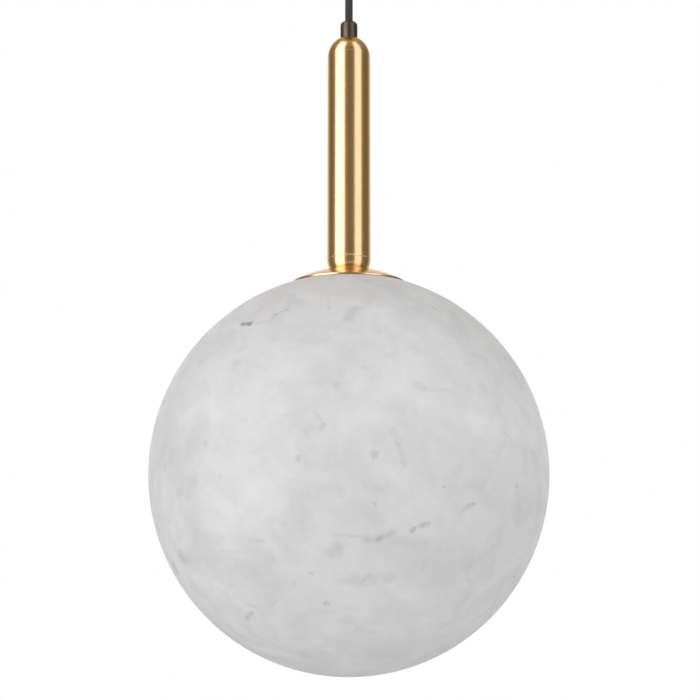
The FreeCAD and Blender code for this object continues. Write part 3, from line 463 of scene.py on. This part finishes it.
clouds = alabaster.noise(alabaster.along(centred, (1, 1, 1.25)), CLOUD_SCALE, 4.0, 0.52, 0.5)
patches = alabaster.noise(centred, PATCH_SCALE, 5.0, 0.55, 0.9)
mottle = alabaster.noise(centred, MOTTLE_SCALE, 4.0, 0.6)
crystals = alabaster.noise(centred, CRYSTAL_SCALE, 2.0, 0.6)
smudge_place = alabaster.along(centred, (1, 1, 1.3), (0.7, 0, 0.4))
smudges = alabaster.noise(smudge_place, SMUDGE_SCALE, 3.0, 0.5, 0.4).ramp(0.58, 0.74)
tone = STONE_TONE + (clouds - 0.5) * CLOUD_SHARE + (patches - 0.5) * PATCH_SHARE
tone = tone + (mottle - 0.5) * MOTTLE_SHARE + (crystals - 0.5) * CRYSTAL_SHARE
tone = tone - smudges * SMUDGE_SHARE - grey
alabaster.set(
    Base_Color=alabaster.mix(tone, STONE_DARK, STONE_LIGHT),
    Roughness=0.60 - 0.12 * patches,
    Normal=alabaster.bump(crystals, GRAIN_BUMP),
    Subsurface_Weight=0.12,
    Subsurface_Scale=0.006,
    Specular_IOR_Level=0.35,
)
piece(globe_mesh, alabaster, "alabaster", "globe", "alabaster_globe")


# ---------------------------------------------------------------- brass tube

# Drawn brass tube, brushed along its length and lacquered, between a turned hemisphere and a
# turned foot. Fine seams show where the three meet, and a scribed line runs above the foot.
TUBE_WALL = 0.0015
TUBE_BEVEL = 0.00012
DOME_SEAT_R = 0.0072
DOME_BOSS_R = 0.008
DOME_BOSS_BELOW = 0.0015
DOME_BORE_R = 0.00505
SPIGOT_R = 0.01545
SPIGOT_WALL = 0.002
COLLAR_ROUND_H = 0.0086
COLLAR_BORE_R = 0.01205
COLLAR_RECESS_R = 0.0134
COLLAR_RECESS_H = 0.0022
TUBE_COLUMNS = 192
BRASS = (0.86, 0.605, 0.295, 1)
BRASS_DEEP = (0.74, 0.48, 0.185, 1)
# Brush lines to the metre along X, Y and Z: drawn out along the tube, and round a turned piece
LINES_ALONG = (2600, 2600, 16)
LINES_ROUND = (700, 700, 2600)
BRUSH_BUMP = 0.00002


def rounded(*corners, steps=4):
    """Closed outline whose corners (r, z, radius) are cut by tangent arcs.

    An arc starts radius * tan(turn / 2) before its corner and is centre + radius * (cos, sin).
    A corner with radius 0 stays a point. Points one radius outside each arc keep the flats flat.
    """
    here = np.array([corner[:2] for corner in corners], float)
    radius = np.array([corner[2] for corner in corners], float)[:, None]
    inward = here - np.roll(here, 1, axis=0)
    inward /= np.linalg.norm(inward, axis=1, keepdims=True)
    outward = np.roll(inward, -1, axis=0)
    cross = inward[:, :1] * outward[:, 1:] - inward[:, 1:] * outward[:, :1]
    turn = np.arctan2(cross, np.sum(inward * outward, axis=1, keepdims=True))
    reach = radius * np.tan(np.abs(turn) / 2)
    side = np.sign(turn) * np.column_stack([-inward[:, 1], inward[:, 0]])
    centre = here - inward * reach + side * radius
    swing = np.abs(turn)[:, None, :] * np.linspace(0, 1, steps + 1)[None, :, None]
    bend = inward[:, None, :] * np.sin(swing) - side[:, None, :] * np.cos(swing)
    bend = centre[:, None, :] + radius[:, None, :] * bend
    before = (here - inward * (reach + radius))[:, None, :]
    after = (here + outward * (reach + radius))[:, None, :]
    points = np.concatenate([before, bend, after], axis=1).reshape(-1, 2)
    gaps = np.linalg.norm(points - np.roll(points, 1, axis=0), axis=1)
    return points[gaps > 1e-7]


def sharp(points):
    """Outline points as corners of rounded() that stay as they are."""
    return [(r, z, 0) for r, z in points]


def brushed_brass(name, stretch, streak=0.5):
    """Lacquered brass with brush lines: noise drawn out along one way by stretch."""
    brass = material(name)
    place = brass.place()
    lines = brass.noise(brass.along(place, stretch), 1.0, 3.0, 0.65)
    fine = brass.noise(brass.along(place, tuple(3 * s for s in stretch)), 1.0, 2.0, 0.6)
    handling = brass.noise(place, 28.0, 3.0, 0.55)
    brushed = lines * 0.6 + fine * 0.4
    brass.set(
        Base_Color=brass.mix((brushed - 0.35) * streak + handling * 0.25, BRASS, BRASS_DEEP),
        Metallic=1.0,
        Roughness=0.17 + 0.09 * brushed + 0.05 * handling,
        Normal=brass.bump(brushed, BRUSH_BUMP, 0.6),
    )
    return brass


tube_low, tube_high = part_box("holder_tube")
dome_low, dome_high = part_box("tube_dome")
collar_low, collar_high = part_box("tube_collar")
TUBE_R = tube_high.x
TUBE_IN_R = TUBE_R - TUBE_WALL

length_brass = brushed_brass("brass_brushed_along", LINES_ALONG)
tube_outline = rounded(
    (TUBE_IN_R, tube_low.z, 0),
    (TUBE_R, tube_low.z, TUBE_BEVEL),
    (TUBE_R, tube_high.z, TUBE_BEVEL),
    (TUBE_IN_R, tube_high.z, 0),
)
tube_mesh = turned("brass_tube", tube_outline, TUBE_COLUMNS)
piece(tube_mesh, length_brass, "brushed_brass", "lamp", "holder_tube")

turned_brass = brushed_brass("brass_turned", LINES_ROUND, 0.35)
dome_z = dome_high.z - math.sqrt(TUBE_R**2 - DOME_SEAT_R**2)
dome_seat_deg = math.degrees(math.acos(DOME_SEAT_R / TUBE_R))
dome_in_r = SPIGOT_R - SPIGOT_WALL
dome_boss_deg = math.degrees(math.acos(DOME_BOSS_R / dome_in_r))
dome_outline = rounded(
    (DOME_BORE_R, dome_z - DOME_BOSS_BELOW, 0),
    (DOME_BOSS_R, dome_z - DOME_BOSS_BELOW, 0),
    *sharp(arc(0, dome_z, dome_in_r, dome_boss_deg, 0, 14)),
    (dome_in_r, dome_low.z, 0),
    (SPIGOT_R, dome_low.z, 0),
    (SPIGOT_R, dome_z, 0),
    *sharp(arc(0, dome_z, TUBE_R - TUBE_BEVEL / 2, 0, 1, 2)),
    *sharp(arc(0, dome_z, TUBE_R, 2, dome_seat_deg, 56)),
    (DOME_BORE_R, dome_high.z, 0),
)
dome_mesh = turned("brass_dome", dome_outline, TUBE_COLUMNS)
piece(dome_mesh, turned_brass, "brushed_brass", "lamp", "tube_dome")

round_z = collar_low.z + COLLAR_ROUND_H
foot_deg = math.degrees(math.asin(COLLAR_ROUND_H / TUBE_R))
collar_outline = rounded(
    (COLLAR_BORE_R, collar_high.z, 0),
    (COLLAR_BORE_R, collar_low.z + COLLAR_RECESS_H, 0),
    (COLLAR_RECESS_R, collar_low.z + COLLAR_RECESS_H, 0),
    (COLLAR_RECESS_R, collar_low.z, 0),
    *sharp(arc(0, round_z, TUBE_R, -foot_deg, -0.4, 30)),
    (TUBE_R - TUBE_BEVEL * 0.8, round_z + TUBE_BEVEL / 2, 0),
    (TUBE_R, round_z + TUBE_BEVEL, 0),
    (TUBE_R, tube_low.z, TUBE_BEVEL / 2),
    (SPIGOT_R, tube_low.z, 0),
    (SPIGOT_R, collar_high.z, 0),
)
collar_mesh = turned("brass_collar", collar_outline, TUBE_COLUMNS)
piece(collar_mesh, turned_brass, "brushed_brass", "lamp", "tube_collar")


# ---------------------------------------------------------------- saucer

# Thin spun brass saucer that covers the globe's mouth: a flat land under the tube's foot, then
# a shallow dome down to the stone. Lathe lines run round it.
SAUCER_T = 0.0012
SAUCER_CURVE_R = 0.094
SAUCER_LAND_R = 0.01517
SAUCER_HOLE_R = 0.0121
SAUCER_COLUMNS = 256

saucer_low, saucer_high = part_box("saucer_cap")
SAUCER_R = saucer_high.x
saucer_z = saucer_high.z - math.sqrt(SAUCER_CURVE_R**2 - SAUCER_LAND_R**2)
under_curve_r = SAUCER_CURVE_R - SAUCER_T
rim_deg = math.degrees(math.acos(SAUCER_R / SAUCER_CURVE_R))
land_deg = math.degrees(math.acos(SAUCER_LAND_R / SAUCER_CURVE_R))
under_rim_deg = math.degrees(math.acos(SAUCER_R / under_curve_r))
under_land_deg = math.degrees(math.asin((saucer_high.z - SAUCER_T - saucer_z) / under_curve_r))
saucer_outline = rounded(
    (SAUCER_HOLE_R, saucer_high.z - SAUCER_T, 0),
    *sharp(arc(0, saucer_z, under_curve_r, under_land_deg, under_rim_deg + 0.4, 40)),
    (SAUCER_R, saucer_low.z, SAUCER_T * 0.15),
    (SAUCER_R, saucer_z + SAUCER_CURVE_R * math.sin(math.radians(rim_deg)), SAUCER_T * 0.3),
    *sharp(arc(0, saucer_z, SAUCER_CURVE_R, rim_deg + 0.6, land_deg, 48)),
    (SAUCER_HOLE_R, saucer_high.z, 0),
)
saucer_mesh = turned("brass_saucer", saucer_outline, SAUCER_COLUMNS)
piece(saucer_mesh, turned_brass, "brushed_brass", "globe", "saucer_cap")


# ---------------------------------------------------------------- cord grips

# Two turned grips in dark bronze, one on the tube and one under the ceiling cup. Each has a
# threaded shank, a rounded free end and a flared mouth for the cord.
GRIP_R = 0.00685
GRIP_H = 0.014
GRIP_ROUND = 0.0026
GRIP_SHANK_R = 0.005
GRIP_SHANK_L = 0.008
GRIP_BORE_R = 0.0033
GRIP_MOUTH_R = 0.0038
GRIP_FLARE_DEPTH = 0.002
GRIP_FOOT_ROUND = 0.0002
GRIP_COLUMNS = 128
BRONZE = (0.118, 0.096, 0.068, 1)
BRONZE_OLIVE = (0.095, 0.084, 0.054, 1)
BRONZE_WORN = (0.21, 0.165, 0.108, 1)
BRONZE_LINES = (300, 300, 5200)

bronze = material("dark_bronze")
bronze_place = bronze.place()
bronze_patina = bronze.noise(bronze_place, 210.0, 3.0, 0.5)
bronze_lines = bronze.noise(bronze.along(bronze_place, BRONZE_LINES), 1.0, 3.0, 0.6)
bronze_colour = bronze.mix(bronze_patina.ramp(0.35, 0.7), BRONZE, BRONZE_OLIVE)
bronze_colour = bronze.mix(bronze_lines.ramp(0.55, 0.85) * 0.25, bronze_colour, BRONZE_WORN)
bronze.set(
    Base_Color=bronze_colour,
    Metallic=1.0,
    Roughness=0.33 + 0.14 * bronze_patina,
    Normal=bronze.bump(bronze_lines, 0.00001, 0.4),
)


def cord_grip(name, seat_z, away, body, node):
    """Grip on a seat; away is +1 or -1, the side that its rounded end points to."""
    mouth_z = seat_z + away * GRIP_H
    flare_z = mouth_z - away * GRIP_FLARE_DEPTH
    shank_z = seat_z - away * GRIP_SHANK_L
    outline = rounded(
        (GRIP_BORE_R, shank_z, 0),
        (GRIP_SHANK_R, shank_z, 0),
        (GRIP_SHANK_R, seat_z, 0),
        (GRIP_R, seat_z, GRIP_FOOT_ROUND),
        (GRIP_R, mouth_z, GRIP_ROUND),
        (GRIP_MOUTH_R, mouth_z, GRIP_FOOT_ROUND),
        (GRIP_MOUTH_R, flare_z, 0),
        (GRIP_BORE_R, flare_z, 0),
        steps=12,
    )
    return piece(turned(name, outline, GRIP_COLUMNS), bronze, "dark_bronze", body, node)


cup_floor_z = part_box("ceiling_cup")[0].z
cord_grip("bronze_grip_lamp", dome_high.z, 1, "lamp", "lamp_cord_grip")
cord_grip("bronze_grip_ceiling", cup_floor_z, -1, "ceiling", "cup_cord_grip")


def dress(finish, *names):
    """Gives CAD nodes that keep their own shape a finish."""
    for name in names:
        nodes[name].data.materials.clear()
        nodes[name].data.materials.append(finish.owner)


dress(bronze, "cup_grip_screw", "lamp_grip_screw")


# ---------------------------------------------------------------- cord

# Round pendant cord in a charcoal textile sleeve, 6.2 mm across: two families of flat yarns
# wind round it in opposite senses and pass over and under each other. It hangs taut, and stops
# BEND_ROOM short of the upper grip's mouth, where a short gap is left.
CORD_R = 0.0031
BEND_ROOM = 0.0016
YARNS = 16
YARN_DEPTH = 0.00016
YARN_UNDER = 0.55
BRAID_PITCH = 0.0195
BRAID_COLUMNS = 128
BRAID_ROWS = 340
# Colour of the yarns' crowns, and the darker colour of the braid's hollows, which is painted shade;
# the plain sleeve inside uses both for its fibres' own tone
YARN_LIGHT = (0.050, 0.050, 0.053, 1)
YARN_DARK_AND_HOLLOW_SHADE = (0.020, 0.020, 0.022, 1)
FIBRE_SCALE = 5200.0

pivot_z = cup_floor_z - GRIP_H
cord_foot_z = dome_high.z + GRIP_H
cord_route = bpy.data.curves.new("cord_route", "CURVE")
cord_route.dimensions = "3D"
cord_line = cord_route.splines.new("NURBS")
cord_line.points.add(2)
for point, z in zip(cord_line.points, (cord_foot_z, (cord_foot_z + pivot_z) / 2, pivot_z)):
    point.co = (0, 0, z, 1)
cord_line.order_u = 3
cord_line.use_endpoint_u = True
route_piece = bpy.data.objects.new("cord_route", cord_route)
route_mesh = bpy.data.meshes.new_from_object(route_piece)
bpy.data.objects.remove(route_piece)
bpy.data.meshes.remove(route_mesh)


def braid_height(angle, z):
    """Height of the sleeve, 0 to 1: the higher of two families of arched yarns.

    A yarn's number is YARNS * (angle / turn + or - z / pitch). Its arch is the sine across it,
    and it is pressed down where the sum of the two whole numbers says that it passes under.
    """
    first = YARNS * (angle / (2 * math.pi) + z / BRAID_PITCH)
    second = YARNS * (angle / (2 * math.pi) - z / BRAID_PITCH)
    over = (np.floor(first) + np.floor(second)) % 2
    first_arch = np.sin(math.pi * (first % 1)) * np.where(over > 0, 1, YARN_UNDER)
    second_arch = np.sin(math.pi * (second % 1)) * np.where(over > 0, YARN_UNDER, 1)
    return np.maximum(first_arch, second_arch)


def braided_cord(name, z_low, z_high):
    """Closed tube whose radius is CORD_R less YARN_DEPTH in the hollows of the braid."""
    angle = np.linspace(0, 2 * math.pi, BRAID_COLUMNS, endpoint=False)[None, :]
    z = np.linspace(z_low, z_high, BRAID_ROWS)[:, None]
    height = braid_height(angle, z)
    r = CORD_R - YARN_DEPTH * (1 - height)
    rings = np.stack([r * np.cos(angle), r * np.sin(angle), np.broadcast_to(z, r.shape)], axis=-1)
    ends = np.zeros((2, 1, BRAID_COLUMNS, 3))
    ends[0, :, :, 2] = z_low
    ends[1, :, :, 2] = z_high
    mesh = skin(name, np.concatenate([ends[0], rings, ends[1]])[::-1], close_rows=False)
    places = np.empty(len(mesh.vertices) * 3)
    mesh.vertices.foreach_get("co", places)
    places = places.reshape(-1, 3)
    # The braid's height is stored on every point, so that the sleeve's colour can darken the
    # hollows with painted shade
    crown = braid_height(np.arctan2(places[:, 1], places[:, 0]) % (2 * math.pi), places[:, 2])
    layer = mesh.attributes.new("crown", "FLOAT", "POINT")
    layer.data.foreach_set("value", crown.astype(np.float32))
    return mesh


textile = material("textile_sleeve")
# Colour darkens from the yarns' crowns down into the braid's hollows: painted shade, times the
# fibres' own tone
crown = textile.node("ShaderNodeAttribute", {"attribute_name": "crown"}, out="Fac")
fibres = textile.noise(textile.place(), FIBRE_SCALE, 3.0, 0.7)
hollow_shade_and_fibres = crown.ramp(0.15, 0.95) * (0.75 + 0.35 * fibres)
textile.set(
    Base_Color=textile.mix(hollow_shade_and_fibres, YARN_DARK_AND_HOLLOW_SHADE, YARN_LIGHT),
    Roughness=0.82 - 0.12 * fibres,
    Normal=textile.bump(fibres, 0.00004, 0.7),
    Sheen_Weight=0.25,
    Sheen_Roughness=0.4,
    Specular_IOR_Level=0.25,
)
cord_mesh = braided_cord("textile_cord", cord_foot_z, pivot_z - BEND_ROOM)
cord = piece(cord_mesh, textile, "textile_cord", "cord", "pendant_cord")

plain_textile = material("textile_inside")
plain_fibres = plain_textile.noise(plain_textile.place(), 2400.0, 3.0, 0.7)
plain_textile.set(
    Base_Color=plain_textile.mix(plain_fibres, YARN_DARK_AND_HOLLOW_SHADE, YARN_LIGHT),
    Roughness=0.85,
    Normal=plain_textile.bump(plain_fibres, 0.00005),
)
dress(plain_textile, "cord_bend", "cord_top_end", "cord_in_rod")


# ---------------------------------------------------------------- ceiling cup

# Spun brass cup over the wiring, with a rounded lower edge and a thin wall. Two knurled
# screws hold it to the ears of the bracket inside.
CUP_WALL = 0.0012
CUP_EDGE_R = 0.008
CUP_HOLE_R = 0.0051
CUP_COLUMNS = 256

cup_low, cup_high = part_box("ceiling_cup")
CUP_R = cup_high.x
cup_inner_edge = CUP_EDGE_R - CUP_WALL
cup_outline = rounded(
    (CUP_HOLE_R, cup_low.z, 0),
    (CUP_R, cup_low.z, CUP_EDGE_R),
    (CUP_R, cup_high.z, CUP_WALL * 0.3),
    (CUP_R - CUP_WALL, cup_high.z, CUP_WALL * 0.3),
    (CUP_R - CUP_WALL, cup_low.z + CUP_WALL, cup_inner_edge),
    (CUP_HOLE_R, cup_low.z + CUP_WALL, 0),
    steps=18,
)
cup_mesh = turned("brass_cup", cup_outline, CUP_COLUMNS)
piece(cup_mesh, turned_brass, "brushed_brass", "ceiling", "ceiling_cup")
dress(turned_brass, "cup_side_screws")


# ---------------------------------------------------------------- plated steel and plain brass

# The bracket, nuts, rod, plates and screws are zinc-plated steel, with the cloudy, slightly
# spangled look of the plating. The gallery thread, clamps and contacts are bare brass.
ZINC = (0.60, 0.61, 0.62, 1)
ZINC_BLUE = (0.47, 0.50, 0.54, 1)
BARE_BRASS = (0.78, 0.58, 0.27, 1)
BARE_BRASS_DULL = (0.52, 0.38, 0.18, 1)


def bare_metal(name, fresh, dull, scale):
    """Unpainted metal: dull patches by noise, with a fine grain in its roughness."""
    metal = material(name)
    place = metal.place()
    spangle = metal.noise(place, scale, 4.0, 0.6, 0.4)
    grain = metal.noise(place, scale * 9, 2.0, 0.6)
    metal.set(
        Base_Color=metal.mix(spangle.ramp(0.35, 0.7), fresh, dull),
        Metallic=1.0,
        Roughness=0.28 + 0.22 * spangle + 0.06 * grain,
        Normal=metal.bump(grain, 0.00002, 0.5),
    )
    return metal


zinc = bare_metal("zinc_plated_steel", ZINC, ZINC_BLUE, 160.0)
bare_brass = bare_metal("bare_brass", BARE_BRASS, BARE_BRASS_DULL, 190.0)
dress(
    zinc,
    "ceiling_bracket",
    "cup_locknut",
    "terminal_screws",
    "block_screw",
    "threaded_rod",
    "rod_steady",
    "upper_spreader_plate",
    "lower_spreader_plate",
    "gallery_ring_nut",
    "lampholder_cap",
    "lampholder_screws",
    "bulb_pins",
)
dress(bare_brass, "terminal_clamps", "earth_screw", "lampholder_contacts")


# ---------------------------------------------------------------- gallery nipple

# Hollow brass nipple with a rolled thread at 1.5 mm a turn above and below its flange. The
# upper thread screws into the tube's foot and shows when the globe is let down.
NIPPLE_BORE_R = 0.0103
NIPPLE_R = 0.012
FLANGE_T = 0.0012
THREAD_PITCH = 0.0015
THREAD_DEPTH = 0.0006
THREAD_STEP = THREAD_PITCH / 10
THREAD_FADE = 0.0008
NIPPLE_COLUMNS = 160


def threaded(mesh, radius, z_low, z_high):
    """Cuts a helical thread in the skin at radius, between two heights.

    The cut is depth * (1 + cos(2 pi (z / pitch - angle / turn))) / 2, faded out at both ends.
    """
    places = np.empty(len(mesh.vertices) * 3)
    mesh.vertices.foreach_get("co", places)
    places = places.reshape(-1, 3)
    r = np.hypot(places[:, 0], places[:, 1])
    angle = np.arctan2(places[:, 1], places[:, 0])
    wave = 0.5 + 0.5 * np.cos(2 * math.pi * places[:, 2] / THREAD_PITCH - angle)
    inside = np.minimum(places[:, 2] - z_low, z_high - places[:, 2]) / THREAD_FADE
    cut = THREAD_DEPTH * wave * np.clip(inside, 0, 1) * (np.abs(r - radius) < 1e-5)
    places[:, :2] *= ((r - cut) / r)[:, None]
    mesh.vertices.foreach_set("co", places.ravel())
    mesh.update()
    return mesh


nipple_low, nipple_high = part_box("gallery_nipple")
flange_z = saucer_high.z
flange_r = nipple_high.x
below = np.arange(nipple_low.z, flange_z, THREAD_STEP)
above = np.arange(flange_z + FLANGE_T + THREAD_STEP, nipple_high.z, THREAD_STEP)
nipple_outline = np.vstack(
    [
        np.column_stack([np.full(below.size, NIPPLE_R), below]),
        [(NIPPLE_R, flange_z), (flange_r, flange_z), (flange_r, flange_z + FLANGE_T)],
        [(NIPPLE_R, flange_z + FLANGE_T)],
        np.column_stack([np.full(above.size, NIPPLE_R), above]),
        [(NIPPLE_R, nipple_high.z), (NIPPLE_BORE_R, nipple_high.z), (NIPPLE_BORE_R, nipple_low.z)],
    ]
)
nipple_mesh = turned("gallery_thread", nipple_outline, NIPPLE_COLUMNS)
threaded(nipple_mesh, NIPPLE_R, nipple_low.z, flange_z - THREAD_PITCH)
threaded(nipple_mesh, NIPPLE_R, flange_z + FLANGE_T, nipple_high.z + THREAD_FADE / 2)
piece(nipple_mesh, bare_brass, "plain_brass", "globe", "gallery_nipple")


# ---------------------------------------------------------------- rubber and fibre

# The ring under the saucer and the four pads inside the globe are black rubber. The washer
# between the nipple's flange and the tube's foot is red fibre.
RUBBER = (0.022, 0.022, 0.023, 1)
RUBBER_DUSTY = (0.055, 0.054, 0.052, 1)
FIBRE_RED = (0.30, 0.06, 0.04, 1)
FIBRE_PALE = (0.42, 0.14, 0.09, 1)


def dull_sheet(name, dark, pale, scale, roughness):
    """Matte material with soft cloudy changes of colour and a fine tooth."""
    dull = material(name)
    place = dull.place()
    cloud = dull.noise(place, scale, 4.0, 0.6)
    tooth = dull.noise(place, scale * 14, 2.0, 0.6)
    dull.set(
        Base_Color=dull.mix(cloud.ramp(0.3, 0.75), dark, pale),
        Roughness=roughness + 0.1 * cloud,
        Normal=dull.bump(tooth, 0.00003),
        Specular_IOR_Level=0.3,
    )
    return dull


dress(dull_sheet("black_rubber", RUBBER, RUBBER_DUSTY, 120.0, 0.68), "rim_gasket", "spreader_pads")
dress(dull_sheet("red_fibre", FIBRE_RED, FIBRE_PALE, 300.0, 0.75), "collar_washer")


# ---------------------------------------------------------------- wiring

# Brown, blue and green-and-yellow cores run from the cord's sheath to the terminal block and
# the earth screw. Two pale sleeved leads run on to the lampholder.
CORE_BROWN = (0.12, 0.045, 0.02, 1)
CORE_BLUE = (0.02, 0.09, 0.32, 1)
CORE_GREEN = (0.04, 0.25, 0.05, 1)
CORE_YELLOW = (0.75, 0.60, 0.03, 1)
SLEEVE_PALE = (0.66, 0.65, 0.60, 1)
STRIPE_PITCH = 0.004


def insulation(name, colour, stripe_colour=None):
    """Smooth extruded insulation, with a slow change of gloss; a second colour adds stripes."""
    cover = material(name)
    place = cover.place()
    drawn = cover.noise(place, 420.0, 3.0, 0.5)
    base = cover.mix(drawn * 0.25, colour, tuple(0.6 * c for c in colour[:3]) + (1,))
    if stripe_colour:
        way = cover.part(place, "X") + cover.part(place, "Y") + cover.part(place, "Z")
        wave = way.sum("SINE", way * (2 * math.pi / STRIPE_PITCH))
        base = cover.mix(wave.ramp(-0.1, 0.1), base, stripe_colour)
    cover.set(
        Base_Color=base,
        Roughness=0.32 + 0.15 * drawn,
        Normal=cover.bump(drawn, 0.00003),
        Coat_Weight=0.15,
    )
    return cover


dress(insulation("brown_core", CORE_BROWN), "live_core")
dress(insulation("blue_core", CORE_BLUE), "neutral_core")
dress(insulation("green_yellow_core", CORE_GREEN, CORE_YELLOW), "earth_core")
dress(insulation("pale_sleeve", SLEEVE_PALE), "holder_leads")


# ---------------------------------------------------------------- terminal block and lampholder

# The terminal block is white moulded plastic. The lampholder's body and the lamp's base are
# white glazed ceramic, with a fine speckle under the glaze.
PLASTIC_WHITE = (0.76, 0.76, 0.73, 1)
PLASTIC_SHADE = (0.62, 0.62, 0.58, 1)
CERAMIC_WHITE = (0.80, 0.79, 0.75, 1)
CERAMIC_SPECK = (0.55, 0.52, 0.46, 1)

moulded = dull_sheet("moulded_plastic", PLASTIC_WHITE, PLASTIC_SHADE, 90.0, 0.42)
dress(moulded, "terminal_block")

ceramic = material("glazed_ceramic")
ceramic_place = ceramic.place()
ceramic_specks = ceramic.noise(ceramic_place, 1500.0, 3.0, 0.6).ramp(0.63, 0.75)
ceramic_waves = ceramic.noise(ceramic_place, 150.0, 2.0, 0.5)
ceramic.set(
    Base_Color=ceramic.mix(ceramic_specks, CERAMIC_WHITE, CERAMIC_SPECK),
    Roughness=0.24 + 0.12 * ceramic_waves,
    Normal=ceramic.bump(ceramic_waves, 0.00006),
    Coat_Weight=0.4,
)
dress(ceramic, "lampholder_body", "bulb_base")


# ---------------------------------------------------------------- lamp

# Two-pin LED lamp: a clear tube with a round end over a narrow white board, which carries a
# row of yellow chips on both faces.
GLASS_WALL = 0.0008
GLASS_COLUMNS = 96
GLASS_TINT = (0.98, 0.98, 0.96, 1)
BOARD_HALF_T = 0.0006
CHIP_RISE = 0.0001
BOARD_WHITE = (0.74, 0.75, 0.74, 1)
CHIP_YELLOW = (0.80, 0.55, 0.08, 1)

glass_low, glass_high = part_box("bulb_cover")
glass_r = glass_high.x
glass_end_z = glass_low.z + glass_r
glass_outline = np.vstack(
    [
        arc(0, glass_end_z, glass_r, -90, 0, 28),
        [(glass_r, glass_high.z), (glass_r - GLASS_WALL, glass_high.z)],
        arc(0, glass_end_z, glass_r - GLASS_WALL, 0, -90, 28),
    ]
)
glass = material("clear_tube")
glass_ripple = glass.noise(glass.place(), 90.0, 2.0, 0.5)
glass.set(
    Base_Color=GLASS_TINT,
    Transmission_Weight=1.0,
    IOR=1.46,
    Roughness=0.03 + 0.03 * glass_ripple,
    Normal=glass.bump(glass_ripple, 0.00004),
)
piece(turned("glass_tube", glass_outline, GLASS_COLUMNS), glass, "bulb_clear", "bulb", "bulb_cover")

board = material("chip_board")
board_place = board.place()
on_chip = board.part(board_place, "Y").size().ramp(BOARD_HALF_T, BOARD_HALF_T + CHIP_RISE)
board_print = board.noise(board_place, 700.0, 2.0, 0.6)
board.set(
    Base_Color=board.mix(on_chip, BOARD_WHITE, CHIP_YELLOW),
    Roughness=0.35 + 0.2 * board_print,
    Normal=board.bump(board_print, 0.00003),
)
dress(board, "led_board")


# ---------------------------------------------------------------- view

scene = bpy.context.scene
scene.view_settings.view_transform = "Standard"
